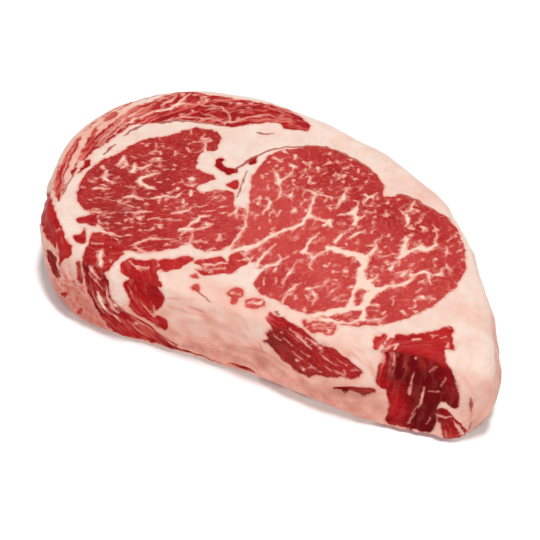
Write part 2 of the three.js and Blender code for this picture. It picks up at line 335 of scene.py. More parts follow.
WALL_MUSCLES = [
    ("chine muscle", 0.88, 0.0, 0.1, ("angle", 68), [
        (204.8, 20), (205, 24), (206.6, 28), (208.4, 31), (209.4, 38), (238, 38), (235.4, 31),
        (234.8, 25), (234, 18), (231.6, 17.4), (229, 18.4), (226.6, 17), (225.8, 12), (225, 7),
        (224, 2.8), (221, 1.9), (214, 2.1), (208.4, 2.5), (208, 8), (208.2, 14), (207.6, 17.8),
    ]),
    ("chine lean, below", 0.5, 0.1, 0.25, ("angle", 120), [
        (225.6, 12), (226.4, 15), (229.4, 15.8), (232, 13.6), (234.8, 10), (237, 6), (239.2, 0.4),
        (234, -1), (230.6, 0.6), (228.4, 4), (227, 8.6),
    ]),
    ("rib muscle", 0.62, 0.5, 0.1, ("angle", -20), [
        (161.6, 38), (163.6, 31), (163.4, 28.8), (160.6, 27.4), (162, 25.6), (160, 23.4), (162.4, 21.6),
        (166.4, 18.8), (171, 17.2), (175, 15.2), (178.6, 15.2), (181, 17.2), (186, 18.6), (192, 20.4),
        (197, 21.8), (199.8, 24), (197.6, 26.6), (193.6, 28.8), (189.6, 30.4), (184, 30.8), (179, 34),
        (178, 38),
    ]),
    ("rib muscle", 0.66, 0.0, 0.2, ("angle", 15), [
        (188.4, 12.2), (190.6, 14.8), (194.4, 16.8), (199, 18.4), (204.2, 18.4), (203.6, 16), (200, 14),
        (195.6, 13.8), (191.4, 12),
    ]),
    ("rib side lean", 0.38, 0.0, 0.3, ("angle", -55), [
        (101.8, 28.6), (104.4, 31.8), (109, 32.6), (114.6, 32.2), (118.4, 30.2), (119.8, 27),
        (118.8, 22.8), (116, 19.8), (115.8, 18), (117.8, 18.2), (120, 16), (121, 13.2), (119.6, 10.8),
        (116, 11.6), (112, 14), (108, 15.4), (106.2, 18), (105.6, 21.6), (104.2, 25),
    ]),
    ("tail layers", 0.72, 0.1, 0.5, ("angle", -45), [
        (78, 35.4), (84, 33.4), (89, 30.6), (93.6, 28.6), (96.4, 25.4), (98.4, 21), (101, 17.6),
        (105, 14.8), (110, 12.6), (114.6, 10.8), (118.6, 7), (122.4, 4.4), (128, 3.2), (138, 2.6),
        (138, 2), (128, 1.6), (117, 1.8), (107, 2.2), (102, 1), (101, -1), (95.6, -1), (96.6, 3.6),
        (93, 7), (91.4, 11), (89.4, 15.2), (87, 20), (85, 24.6), (81.4, 30),
    ]),
    ("tail layers", 0.6, 0.1, 0.8, ("angle", -60), [
        (74.6, 33.8), (79, 31.4), (82, 28), (84.4, 23.4), (84, 21.6), (82, 23), (80.4, 27),
        (77.6, 30.2),
    ]),
    ("tail layers", 0.32, 0.0, 0.15, ("angle", 42), [
        (25, 11), (27, 16), (29, 21), (30.6, 26), (35, 30.6), (38, 37), (50, 40), (66, 38), (73, 34),
        (74.2, 30.4), (72.4, 26), (71, 23), (69.4, 25.6), (66, 28.2), (60, 26.6), (54, 26.2),
        (48.6, 26), (45, 22), (42.6, 17), (40.8, 12), (40.4, 7), (41.6, 3), (44, 0), (34, -1),
        (29, 2.4), (26.4, 6.4),
    ]),
    ("tail layers", 0.68, 0.0, 0.3, ("angle", -30), [
        (59.6, 22), (61.6, 24.2), (65, 24.4), (68.2, 24.8), (68, 21.8), (70, 20.4), (73, 18.6),
        (70.6, 16.2), (67.4, 16.6), (64, 18.8), (61.4, 19.8),
    ]),
    ("tail layers", 1.0, 0.0, 0.2, ("angle", 30), [
        (42.4, 3), (45, 5.2), (48.4, 4), (52, 1), (47, -0.6), (43, 0.6),
    ]),
    ("tail layers", 0.45, 0.0, 0.7, ("angle", 40), [
        (70, 7), (72.6, 9.4), (77, 13.2), (77.4, 11.8), (74.6, 8.6), (71.4, 6.2),
    ]),
    ("tail layers", 0.4, 0.0, 0.7, ("angle", 50), [
        (80.4, 4), (82, 7.6), (83.4, 8), (83, 5), (81.8, 3.4),
    ]),
    ("cap layers", 0.35, 0.0, 0.7, ("angle", 48), [
        (10, 22.6), (13, 24.8), (18, 25), (24.4, 23.4), (22.6, 18.6), (18.6, 14.6), (13.6, 12.8),
        (11.4, 15),
    ]),
    ("cap layers", 0.35, 0.0, 0.7, ("angle", -50), [
        (-16, 28), (-6, 27), (2, 25.4), (6.2, 24), (7, 19), (5.6, 15), (2.6, 18.4), (-6, 22.6),
    ]),
    ("cap layers", 0.4, 0.3, 1.0, ("angle", -4), [
        (-74, 24), (-58, 26.4), (-40, 27.6), (-24, 28), (-16, 26.4), (-26, 24.6), (-42, 24.8),
        (-58, 23.6),
    ]),
    ("cap layers", 0.45, 0.3, 1.0, ("angle", -8), [
        (-50, 14.6), (-36, 16), (-20, 14.6), (-8, 11.4), (2, 9), (-10, 8.6), (-24, 11.2), (-38, 12.6),
    ]),
    ("rib side sliver", 0.6, 0.0, 0.5, ("angle", 0), [
        (145, 3.2), (149, 4.4), (153, 4.2), (156.6, 2.8), (151, 1.6), (147, 2),
    ]),
]
POINTS_PER_SPAN = 7
EDGE_REACH = 3.0  # millimetres; edges further away than this are not looked for


def rounded(points):
    """A closed curve through the points of an outline."""
    corners = np.array(points, float)
    before, after = np.roll(corners, 1, 0), np.roll(corners, -1, 0)
    beyond = np.roll(corners, -2, 0)
    share = np.linspace(0, 1, POINTS_PER_SPAN, endpoint=False)[None, :, None]
    a, b, c, d = (part[:, None, :] for part in (before, corners, after, beyond))
    curve = 0.5 * (
        2 * b + (c - a) * share + (2 * a - 5 * b + 4 * c - d) * share**2 + (3 * b - a - 3 * c + d) * share**3
    )
    return curve.reshape(-1, 2)


def depth_inside(view, points, limit=EDGE_REACH):
    """How far each place is inside an outline, in millimetres: negative outside, and never past the limit."""
    curve = rounded(points)
    depth = np.full(len(view), -limit)
    low, high = curve.min(0) - limit, curve.max(0) + limit
    near = np.flatnonzero(((view > low) & (view < high)).all(1))
    spot = view[near]
    nearest = np.full(len(spot), limit)
    inside = np.zeros(len(spot), bool)
    for start, end in zip(curve, np.roll(curve, -1, 0)):
        way = end - start
        along = np.clip((spot - start) @ way / max(way @ way, 1e-9), 0, 1)
        nearest = np.minimum(nearest, np.linalg.norm(spot - start - along[:, None] * way, axis=1))
        crosses = (start[1] > spot[:, 1]) != (end[1] > spot[:, 1])
        if crosses.any():
            crossing = start[0] + (spot[:, 1] - start[1]) * way[0] / (way[1] or 1e-9)
            inside ^= crosses & (spot[:, 0] < crossing)
    depth[near] = np.where(inside, nearest, -nearest)
    return depth


TYPICAL_DISTANCE = 60  # millimetres from the point that the rings or the fan are drawn about


def grain_places(view, grain):
    """Places along and across the way that the marbling runs, in millimetres."""
    kind, *where = grain
    if kind == "angle":
        lie = math.radians(where[0])
        return (
            view[:, 0] * math.cos(lie) + view[:, 1] * math.sin(lie),
            view[:, 1] * math.cos(lie) - view[:, 0] * math.sin(lie),
        )
    offset = view - np.array(where, float)
    distance = np.linalg.norm(offset, axis=1)
    round_it = np.arctan2(offset[:, 1], offset[:, 0]) * TYPICAL_DISTANCE
    return (round_it, distance) if kind == "ring" else (distance, round_it)


def grain_heading(spot, grain):
    """The way that the marbling runs at a place, as an angle."""
    kind, *where = grain
    if kind == "angle":
        return math.radians(where[0])
    outward = math.atan2(spot[1] - where[1], spot[0] - where[0])
    return outward + math.pi / 2 if kind == "ring" else outward


def read_muscles(view, muscles):
    """What the nearest muscle gives each place: the depth inside it, then its tone, marbling and strands,
    and the places along and across its grain."""
    depth = np.full(len(view), -EDGE_REACH)
    given = np.zeros((5, len(view)))
    given[3:] = view.T
    for _, tone, marbling, strands, grain, points in muscles:
        own_depth = depth_inside(view, points)
        nearer = own_depth > depth
        depth[nearer] = own_depth[nearer]
        given[:3, nearer] = np.array([[tone], [marbling], [strands]])
        given[3:, nearer] = grain_places(view[nearer], grain)
    return depth, *given


# ---- Lean and fat: seams and marbling ---------------------------------------------------------------
# Seams of fat run between the muscles and branch into them. Each is a line of places with the seam's
# width there, all in millimetres.
TOP_SEAMS = [
    # the main seam of the eye muscle, and the fat that it runs out into
    [(4.6, 19, 0.6), (5.2, 16, 1.1), (6, 12.5, 1.3), (7.2, 8.5, 1.1), (8.5, 4, 1.7), (9, 0, 1.8),
     (8, -4, 1.6), (5.5, -8, 1.6), (3.2, -10.5, 1.9), (1.8, -14, 1.5), (0.5, -18, 1.6),
     (-1.5, -21.5, 2.4), (-4, -23.6, 2.9), (-6.8, -26.6, 1.9), (-9.6, -29.8, 2.4), (-11.8, -31.4, 2.2),
     (-14.5, -33.6, 2.8), (-18, -35, 3.6), (-22, -35.8, 4.2), (-25.6, -38.6, 2.8), (-29, -41.6, 2.2),
     (-33, -44.6, 1.8), (-37, -46.6, 1.5), (-41, -47.2, 1)],
    # the thin seam beside it
    [(-17, -2.5, 3), (-14.4, -3.4, 1.4), (-12.5, -7, 0.9), (-10.9, -11, 0.9), (-9.6, -15, 1.1),
     (-9.1, -19, 1.1), (-9.1, -23, 1), (-9.8, -27, 0.9), (-10.8, -29.4, 1.2)],
    # marbling of the eye muscle, from the left
    [(-17.5, 21, 0.6), (-14.8, 19.4, 1.2), (-13, 17.5, 1.5), (-11.4, 15.2, 2.2), (-9.6, 13, 1),
     (-8, 11, 0.8), (-6.6, 9, 1.2), (-6.5, 5.6, 0.7)],
    [(-11, 16, 1.4), (-9.7, 20, 1), (-10, 24, 0.8), (-10.8, 26.6, 1.5), (-13, 27.4, 0.7)],
    [(-9.4, 4.6, 0.7), (-8.2, 3, 1.4), (-7.4, 0, 1.5), (-7.2, -4, 0.8)],
    [(-3.6, 12, 0.5), (-3, 9.4, 1.6), (-1, 7.8, 0.5)], [(-13.8, 32.8, 1.5), (-13, 31.4, 0.9)],
    [(-19, 27.4, 0.8), (-17, 27.2, 1)], [(-8.8, 31, 0.9), (-7, 30, 0.8)],
    [(-2.2, 30.6, 1.4), (-1.6, 29.4, 1)], [(-6, 27.4, 1), (-5.4, 26.4, 0.7)],
    [(-1, 33.6, 0.8), (0.4, 36, 1.1)], [(12.2, 38.2, 0.8), (13, 36.6, 0.9)],
    [(-2, 24, 0.8), (-0.6, 21, 1.1)], [(-5.2, 24, 0.7), (-5, 22, 0.8)],
    [(5.4, 31.4, 0.7), (5.8, 29.6, 0.6)], [(-19, 15.4, 0.8), (-18, 14.4, 1)],
    [(-14, 11.6, 0.6), (-13.2, 9.6, 0.7)],
    [(0.4, 15.4, 0.7), (4, 15.8, 1.4), (8, 16, 1), (11, 16.8, 1.3)], [(12, 11, 0.7), (14, 10.2, 1)],
    [(0.8, 13.8, 0.7), (1.4, 11.8, 0.5)], [(-5, -1, 0.8), (-4.2, -3.6, 0.9)],
    [(-1.6, 0, 1), (-1.4, -3, 0.6)],
    [(13, 25.4, 0.5), (14.4, 21.4, 1.3), (15.6, 18, 1.8), (15.6, 14.8, 1.1), (16, 12, 0.6)],
    [(21.8, 25.2, 1.4), (23.4, 24.6, 1.8), (23.4, 21.8, 1)], [(23.4, 24.6, 1.2), (25, 28.6, 0.6)],
    [(21.4, 19.4, 0.6), (22.4, 16.4, 1.4), (23.2, 13.2, 2.6), (20.8, 10.6, 1.7), (19, 8.8, 0.9)],
    [(23.2, 13.2, 2), (25.4, 10.6, 2), (26, 7.6, 1.8)], [(26.8, 13.4, 0.7), (26.2, 10, 1.4)],
    [(9, 3.4, 1.8), (12, 3, 1), (14.6, 3, 1.3), (17, 4.2, 2.1), (18.6, 2.4, 1.6)],
    [(16.8, 4.6, 1), (16, 1, 1.3)], [(25.4, 4.6, 0.7), (25, 0, 1.2), (24.2, -4.4, 1.6)],
    [(30.6, 6.2, 0.7), (29.4, 3, 1.5), (28, -0.4, 0.8)], [(33, 20.4, 0.5), (34, 17.6, 0.9)],
    [(33.4, 9, 0.5), (33.6, 6.6, 0.7)],
    # marbling of the eye muscle, on the right
    [(39.6, 31, 0.8), (40.6, 27.4, 1.2), (39.8, 22.4, 0.7)], [(37, 24, 0.5), (39.4, 22.6, 0.9)],
    [(41.4, 21.8, 2), (42.6, 19.4, 1.6), (43, 17, 0.9)], [(46.6, 24.4, 0.6), (46, 20.6, 0.7)],
    [(51.8, 22.4, 0.5), (54, 21, 1), (53.2, 19.8, 0.6)],
    [(54, 20.6, 0.7), (55.4, 18, 0.8), (56, 15.6, 0.7), (57.2, 13.6, 1.5)],
    [(57.2, 13.6, 1), (56.2, 11.4, 1.3), (54.6, 9.2, 2.6), (52.4, 8.6, 2.4), (50.6, 5.4, 1.7),
     (48.6, 3.4, 2.8), (46.8, 6.8, 1.9), (46.8, 10.4, 1.6)],
    [(52.6, 8.8, 1.6), (52.6, 11.2, 0.9)], [(48.6, 3.2, 2.2), (48.6, 0, 1.4), (50, -2.8, 0.7)],
    [(60.8, 14.4, 0.6), (62.2, 12.2, 1), (63.6, 12.4, 0.5)], [(61.8, 24, 0.5), (60, 18, 0.6)],
    [(64.6, 5.8, 0.8), (65.6, 4.6, 1.2), (67.4, 4.2, 0.6)], [(68.6, 18, 0.4), (69.2, 16.4, 0.6)],
    [(64.4, 2.6, 0.8), (65, 0.6, 1.5), (63, -1.2, 0.8)],
    [(56, -10.6, 1.6), (57, -7.4, 1.4), (57.4, -4.2, 1.2), (59, -1.6, 1.7), (60.6, -1.2, 1.6),
     (62, -3, 1.2), (64, -5.4, 0.8)],
    [(48, -2.4, 0.5), (48.4, -6.6, 1.8)], [(53.8, -3.2, 0.5), (53, -7, 1.5)],
    [(43.2, -2, 0.8), (45, -1, 0.6)], [(38, 6, 0.7), (37, 3.4, 0.9), (38.4, 0.6, 1.4), (38.2, -3.6, 1.8)],
    [(38, 7, 0.6), (39, 4.4, 0.7)],
    # the branching fat in the lower part of the eye muscle
    [(23.4, -8.4, 2.4), (28, -8, 2.5), (33, -7.4, 2.8), (37, -6.6, 3.6), (39, -9.4, 2.8),
     (39.4, -12.6, 2.2), (41.2, -16.2, 3.4), (43.8, -18.4, 4.4), (47.4, -19.6, 3), (50, -17, 2.2),
     (52.4, -14, 1.5), (55.4, -12.2, 1.9)],
    [(43.8, -18, 2.6), (45.2, -14.6, 1.3), (45.6, -11.6, 0.7)],
    [(47.6, -19.6, 3), (47.8, -24, 3.2), (48.2, -28, 3), (45.4, -30.6, 2.4), (43.4, -32.4, 2.4),
     (40.4, -35.8, 3), (37.4, -38.6, 2.4), (34.4, -41, 2.2)],
    [(41.6, -18.4, 2.4), (41.4, -22, 1.5), (42.4, -26, 1.5), (43.4, -30, 2)],
    [(48.2, -28, 2.4), (49.8, -31, 1.8), (50.4, -34, 1.6), (53, -33.4, 1.2), (55.6, -31, 0.9),
     (57.2, -28.4, 0.6)],
    [(50.6, -34, 1.6), (47.6, -38, 1.4), (43.6, -39.6, 1.6), (38, -40.6, 1.6)],
    [(49.6, -26.8, 1.2), (51.8, -26, 0.6)], [(61.4, -23.4, 1.3), (61.8, -23.6, 1.1)],
    [(63, -20.4, 0.6), (63.6, -19.6, 0.4)], [(61, -12.4, 0.6), (62, -10, 0.6)],
    [(66.2, -12, 0.5), (67.2, -14, 0.5)], [(56.6, -22.4, 0.5), (56.2, -20.4, 0.6)],
    # marbling of its lowest part
    [(16.6, -4, 0.7), (16.1, -8, 1.3), (16, -12, 1.6), (16.4, -15, 2), (19, -14.8, 1.1), (21.2, -16, 1.3),
     (22.2, -20.4, 0.9)],
    [(21.4, -15, 1.2), (23, -11, 0.9), (24, -9, 1.4)], [(19.2, -5.6, 0.6), (18.4, -8, 0.5)],
    [(5, -16.6, 0.7), (4.6, -22, 1.2), (4.4, -26.6, 1.6), (4.4, -30, 2.4)],
    [(13.2, -20, 0.7), (11.2, -22.6, 1.1), (10, -25.4, 1.6), (7.2, -28.6, 1.4)],
    [(9, -20.4, 0.6), (11.2, -22.6, 0.9)],
    [(16.6, -20.4, 0.4), (17, -23.6, 1), (17.2, -26.6, 1.3), (16.6, -30, 0.7)],
    [(22.8, -29, 0.4), (21.6, -31.6, 1.3), (21, -34, 1), (21.4, -38, 0.7), (21.8, -41, 0.9)],
    [(31, -26, 0.6), (29, -28, 1), (26.6, -30, 1.6)],
    [(29, -30.4, 1.3), (31, -32.8, 1.3), (32, -35, 0.7)], [(28, -33.4, 0.9), (29.4, -35, 0.6)],
    [(35.6, -25, 0.4), (35, -27.4, 0.9)], [(39, -27, 0.5), (37.6, -30.4, 0.7)],
    [(10.6, -33.2, 0.5), (11.4, -35.6, 0.8)], [(13.8, -31, 0.5), (14.6, -33, 0.5)],
    # the foot of the eye muscle
    [(-6.2, -33, 0.9), (-9, -35.4, 0.7), (-12.6, -38, 0.9)],
    [(-5, -35.6, 0.7), (-8, -37.8, 0.7), (-12.6, -40.8, 0.6)], [(-2.2, -29.4, 0.8), (-1, -28, 1)],
    # the inner muscle
    [(-18.4, -4, 2.4), (-17.6, -6, 1.1), (-17, -8.4, 1.2), (-18.2, -11, 0.7)],
    [(-29.6, -32.8, 0.6), (-33, -35, 0.9), (-36.4, -37.2, 0.9), (-39, -39.6, 1), (-40, -41.8, 1),
     (-38.8, -43.6, 0.9), (-36, -43.9, 0.8), (-33, -43.2, 0.8), (-31, -42.2, 0.8)],
    [(-24.9, -26, 0.5), (-23.4, -29, 0.7), (-23, -31, 0.7), (-24.2, -34.4, 0.9)],
    [(-49.6, 25, 0.5), (-49.4, 21.6, 1), (-48, 19, 1.1), (-47, 17, 1.8)],
    [(-52.6, 26.4, 0.5), (-52, 24, 0.8)], [(-58.6, 25.4, 0.9), (-57.6, 24, 0.6)],
    [(-72.4, -2.4, 0.8), (-71.4, -4.6, 1.6), (-71.8, -7, 1.3)],
    [(-70.4, -4.6, 1), (-68.4, -6, 1.1), (-69, -8, 1.2)],
    [(-66.4, -3.8, 0.7), (-65.4, -5.8, 1.6), (-64.4, -8.4, 1.6)],
    [(-64.6, -6, 1.2), (-62.4, -4.6, 1.3), (-60.6, -1.8, 0.9)],
    [(-55, -4, 0.7), (-57, -7.4, 1.4), (-59, -9.8, 1.6), (-59, -12, 2), (-56.4, -13, 1.5),
     (-53.6, -13.6, 1.9), (-51, -12.8, 0.8)],
    [(-73.6, -13.4, 1.1), (-73, -15.4, 1.3), (-71.6, -17.4, 1.7), (-68.6, -17.4, 1.2),
     (-67.4, -18.2, 0.7)],
    [(-71.6, -24, 1.1), (-69.4, -23, 1), (-66.4, -21.6, 0.7)],
    [(-58.2, -22.8, 1.2), (-56.4, -21.4, 1.7), (-54, -20.4, 1.3), (-51.6, -20.9, 0.7)],
    [(-40.6, -10.2, 0.8), (-41.4, -13, 1.2), (-44.6, -14.4, 1.1), (-46.6, -16.8, 1.9),
     (-48.2, -18.4, 0.9)],
    [(-45.6, -15.4, 0.7), (-44.6, -19, 0.6)], [(-58, -26.4, 0.5), (-54, -26.2, 0.7), (-50, -25, 0.5)],
    [(-52.2, -29.6, 0.8), (-49, -28, 1.1), (-46.4, -26, 1.1), (-44.8, -25.2, 0.6)],
    [(-48, -30.6, 0.5), (-46, -29, 0.8)], [(-42.8, -28.6, 0.6), (-40.4, -26.8, 0.9)],
    [(-39, -29.6, 0.5), (-37.6, -28.6, 0.7)],
    [(-37, -21.2, 1), (-35, -19.6, 1.7), (-33, -17.4, 1.2), (-32.6, -15.2, 0.5), (-31, -13, 0.7),
     (-28.4, -10.8, 0.5)],
    [(-38.2, -6.4, 1.3), (-36.6, -8.6, 1.4)], [(-37.8, -13, 1.2), (-37, -14, 1.1)],
    [(-42, -4.4, 0.7), (-39.4, -3.4, 0.9)], [(-27.8, -14.4, 0.5), (-24.4, -11.6, 0.6)],
    [(-24, -15, 0.6), (-26.6, -17, 1.5), (-27.4, -19.6, 1.5), (-27.8, -23, 1.2), (-28.2, -26, 1)],
    [(-29.6, -27.8, 1.6), (-27, -26, 2), (-24.4, -24.2, 1), (-22.4, -21.4, 1), (-21.2, -18.6, 1.1)],
    [(-15.2, -22, 0.9), (-14, -24, 0.7)], [(-14.6, -30.6, 0.9), (-13.6, -29.2, 0.7)],
    [(-61.6, 7.6, 0.8), (-61, 6.4, 1.1)], [(-56.6, 10.6, 0.8), (-55.8, 9, 0.8)],
    [(-53.4, 14.6, 0.8), (-52, 14, 0.7)], [(-62, 0.4, 0.6), (-61.4, 2, 0.8)],
    [(-65.6, 10.4, 0.6), (-65, 9.4, 0.8)], [(-76.6, -12, 1.1), (-75.6, -12.6, 1)],
    [(-66.6, -36.4, 0.8), (-62, -35, 0.7), (-57.4, -33, 0.5)],
    [(-58, -41, 1.4), (-55, -42.4, 1.2), (-50.6, -42.2, 0.9), (-47, -41.6, 0.5)],
    [(-46.6, -35.4, 0.6), (-48, -37, 0.7)], [(-40.4, -34, 0.5), (-38.4, -32.6, 0.6)],
    [(-34.4, -24.4, 0.5), (-32.4, -23, 0.6)],
    # the cap
    [(-72.4, 47, 0.4), (-73, 43.6, 0.9), (-73, 40, 1.4), (-73, 37, 1.9), (-74.6, 34, 1.5),
     (-76.6, 31, 1.2), (-79, 28, 1.1), (-80.4, 25, 1.2), (-81.8, 21.6, 1.1), (-82.8, 18.4, 1.4),
     (-84, 14, 0.8), (-84.6, 9, 0.7), (-84.8, 4, 0.6), (-84.6, -2, 0.4)],
    [(-73, 38, 1.2), (-70, 39.6, 0.8), (-66, 41, 0.6), (-61, 42.6, 0.6), (-56, 44.4, 0.5)],
    [(-68.6, 47.4, 0.3), (-66.6, 45.4, 0.6), (-63.6, 43.6, 0.5)],
    [(-81.4, 33, 0.4), (-83.6, 29, 0.6), (-85, 25, 0.9), (-85.8, 21, 1.1), (-86.2, 17, 0.9),
     (-86.6, 11, 0.7), (-86.6, 4, 0.6), (-86, -3, 0.5)],
    [(-87.6, 22, 0.4), (-87.8, 15, 0.6), (-88, 8, 0.5), (-87.8, 0, 0.4)],
    [(-80.6, 39, 0.5), (-81.2, 36.4, 0.9), (-82.6, 34, 0.4)],
    [(-76.2, 43, 0.4), (-77, 39.6, 0.8), (-77.4, 37.4, 1.2), (-78.6, 34.6, 0.6)],
    [(-75.4, 45.4, 0.4), (-78, 42.6, 0.7), (-79.6, 40, 0.4)],
    [(-27, 52, 0.3), (-32, 50.6, 0.5), (-38, 49.2, 0.6), (-41.4, 46.6, 0.7), (-43.8, 43, 0.8),
     (-46.4, 39.8, 1), (-49.6, 37.2, 0.9)],
    [(-48, 39.4, 0.7), (-51.6, 42.6, 0.6), (-55.6, 44.6, 0.7), (-60, 43.8, 0.5)],
    [(-50, 50.6, 0.3), (-55, 49.2, 0.5), (-60, 47.4, 0.5)],
    [(-49.4, 37.4, 0.5), (-55, 36.6, 0.6), (-61, 34.4, 0.7), (-66, 31.6, 0.8), (-69.4, 28.6, 0.5)],
    [(-52, 38.4, 0.3), (-57, 38.4, 0.6), (-61, 37.4, 0.4)],
    [(-27, 54, 0.3), (-33, 54.4, 0.5), (-39, 54, 0.3)],
    [(-30, 48.4, 0.3), (-34, 47.6, 0.5), (-37, 45.8, 0.3)],
    [(-44, 49.6, 0.3), (-48, 46.8, 0.4), (-50.6, 44, 0.3)],
    # the strip outside the cap
    [(-94.6, -4, 0.3), (-92.4, -12, 0.5), (-89, -20.4, 0.6), (-85.4, -27, 0.5), (-82.6, -32.6, 0.3)],
    # small lean parts along the rib side and in the tail
    [(-49.4, -50.4, 0.7), (-48.4, -52.6, 1.5), (-47.4, -54.6, 2), (-46.6, -57, 1.8)],
    [(-33, -50.8, 0.6), (-30, -50, 1)], [(-54, -49.4, 0.4), (-51.4, -48, 0.6)],
    [(-36.4, -50.6, 0.6), (-34, -51.6, 0.8), (-31, -52, 0.6)], [(11.6, -45.6, 0.9), (14.4, -44.4, 1.1)],
    [(37, -43.8, 0.7), (39.4, -42.8, 0.8)], [(41.6, -43.4, 0.6), (42.8, -42.4, 0.5)],
    [(38, -44.8, 0.5), (40, -44.4, 0.5)], [(30, -48.6, 0.5), (44, -50, 0.6)],
    # the muscle beside the chine
    [(81.6, -29, 0.9), (81.8, -30.4, 0.8)], [(70.4, -34, 0.8), (72, -32.6, 0.7)],
    [(78, -28, 0.4), (79.4, -26.4, 0.4)], [(63, -41.8, 0.8), (66, -38.8, 0.8)],
]
WALL_SEAMS = [
    # the chine block
    [(219.6, 26, 0.3), (217.8, 22, 0.55), (216, 17.4, 0.6)],
    [(222.6, 21, 0.4), (221.2, 17.6, 0.8), (218.8, 12.4, 0.5)], [(225, 33.6, 0.3), (222, 31.6, 0.5)],
    [(217.4, 9.6, 0.3), (215, 5, 0.5)], [(224.6, 20.2, 0.2), (227.4, 21.4, 0.4)],
    [(227, 28, 0.2), (230, 30, 0.3)], [(229.4, 24.4, 0.2), (231.6, 27.6, 0.3)],
    [(222, 6.4, 0.2), (223, 9, 0.3)], [(210.6, 36, 0.5), (207.8, 29, 0.7)],
    [(214.4, 36, 0.4), (211.6, 28, 0.6)],
    # the lean below it
    [(225.8, 12.2, 0.5), (228.6, 12, 0.8), (231.4, 12.8, 0.4)],
    [(232.4, 10.6, 0.4), (234.2, 7.4, 1.1), (236.6, 2.4, 1.2)], [(229.4, 5, 0.3), (231.4, 0, 0.5)],
    # the rib muscle
    [(171, 32.6, 0.5), (174.6, 30.4, 0.8), (178.4, 28.4, 0.9), (180, 28, 0.4)],
    [(178, 33.4, 0.5), (182.6, 31.4, 0.8), (187, 30.2, 0.5)],
    [(183.6, 26.8, 0.3), (187, 25.2, 0.6), (189.6, 24.6, 0.3)], [(185, 22.4, 0.3), (187.6, 21.6, 0.5)],
    [(189.4, 22, 0.3), (192.4, 21.4, 0.6)], [(164.6, 27.4, 0.4), (167, 26.8, 0.6)],
    [(169, 27.8, 0.3), (171.4, 26.6, 0.6)], [(172.6, 24, 0.3), (175.6, 22.6, 0.5)],
    [(176, 25.4, 0.3), (178.6, 24.4, 0.5)], [(180.4, 20.6, 0.3), (182.6, 19.6, 0.5)],
    [(190.4, 27, 0.3), (193.6, 25.6, 0.5)],
    # the tail
    [(78.6, 33.6, 0.4), (83, 31, 0.9), (87, 28.8, 1), (91, 27.4, 0.5)],
    [(86, 27.4, 0.3), (90.6, 25.6, 0.6), (94, 23.4, 0.3)],
    [(92.4, 21, 0.8), (93.6, 18.6, 2.2), (94.4, 16, 2.4), (95.4, 14, 1.2), (96.6, 12, 0.4)],
    [(95.4, 24.6, 0.4), (96.6, 20.4, 0.9), (98.4, 17, 0.9), (100.6, 14.2, 0.5)],
    [(97.6, 23, 0.3), (99, 19, 0.5), (102, 15.6, 0.4)],
    [(97, 13.6, 0.4), (99.4, 11.4, 1), (101.2, 8.6, 0.4)],
    [(106, 12.6, 0.3), (110.6, 9.8, 0.5), (115, 8.4, 0.3)],
    [(104, 10, 0.3), (108, 7, 0.5), (113, 4.6, 0.3)],
    [(88.4, 22.6, 0.3), (91, 17, 0.5), (93.4, 11.6, 0.3)],
    [(110.6, 21.4, 0.2), (112.6, 19, 0.5), (114.8, 16.4, 0.7)], [(106, 24.4, 0.2), (108, 21.6, 0.3)],
    [(115.4, 21, 0.3), (115.6, 18.6, 0.8), (115, 16.2, 0.6)],
    [(79, 31.6, 0.3), (82, 27.6, 0.5), (84, 25, 0.3)],
    # the end of the cap
    [(36, 24.6, 0.4), (39.4, 27.4, 0.7), (43, 29.4, 0.3)],
    [(31, 11.4, 0.5), (32.4, 7, 1.2), (35.4, 4.4, 1.3), (39, 3, 0.6)],
    [(29, 16, 0.3), (32, 20, 0.5), (34, 24, 0.3)],
    [(55, 31.6, 0.3), (60, 31.4, 0.5), (65, 30, 0.8), (68.4, 27.6, 0.9), (69.6, 25, 0.5)],
    [(12, 17, 0.3), (16, 21, 0.5), (20, 23.6, 0.3)], [(47, 31, 0.2), (52, 33, 0.4), (57, 33.6, 0.3)],
]


def nearest_seam(view, seams, limit=EDGE_REACH):
    """For each place, how far it is from the edge of the nearest seam, which is negative inside one; how far
    from the seam's middle line, which is negative on one side; and half of the seam's width."""
    gap = np.full(len(view), limit)
    middle = np.full(len(view), limit)
    half_width = np.zeros(len(view))
    for seam in seams:
        for start, end in zip(seam, seam[1:]):
            a, b = np.array(start[:2], float), np.array(end[:2], float)
            low, high = np.minimum(a, b) - limit, np.maximum(a, b) + limit
            near = np.flatnonzero(((view > low) & (view < high)).all(1))
            way = b - a
            length = max(np.linalg.norm(way), 1e-6)
            off = view[near] - a
            share = np.clip(off @ way / length**2, 0, 1)
            half = 0.5 * (start[2] + share * (end[2] - start[2]))
            own_gap = np.linalg.norm(off - share[:, None] * way, axis=1) - half
            nearer = own_gap < gap[near]
            found = near[nearer]
            gap[found] = own_gap[nearer]
            middle[found] = (way[0] * off[nearer, 1] - way[1] * off[nearer, 0]) / length
            half_width[found] = half[nearer]
    return gap, middle, half_width


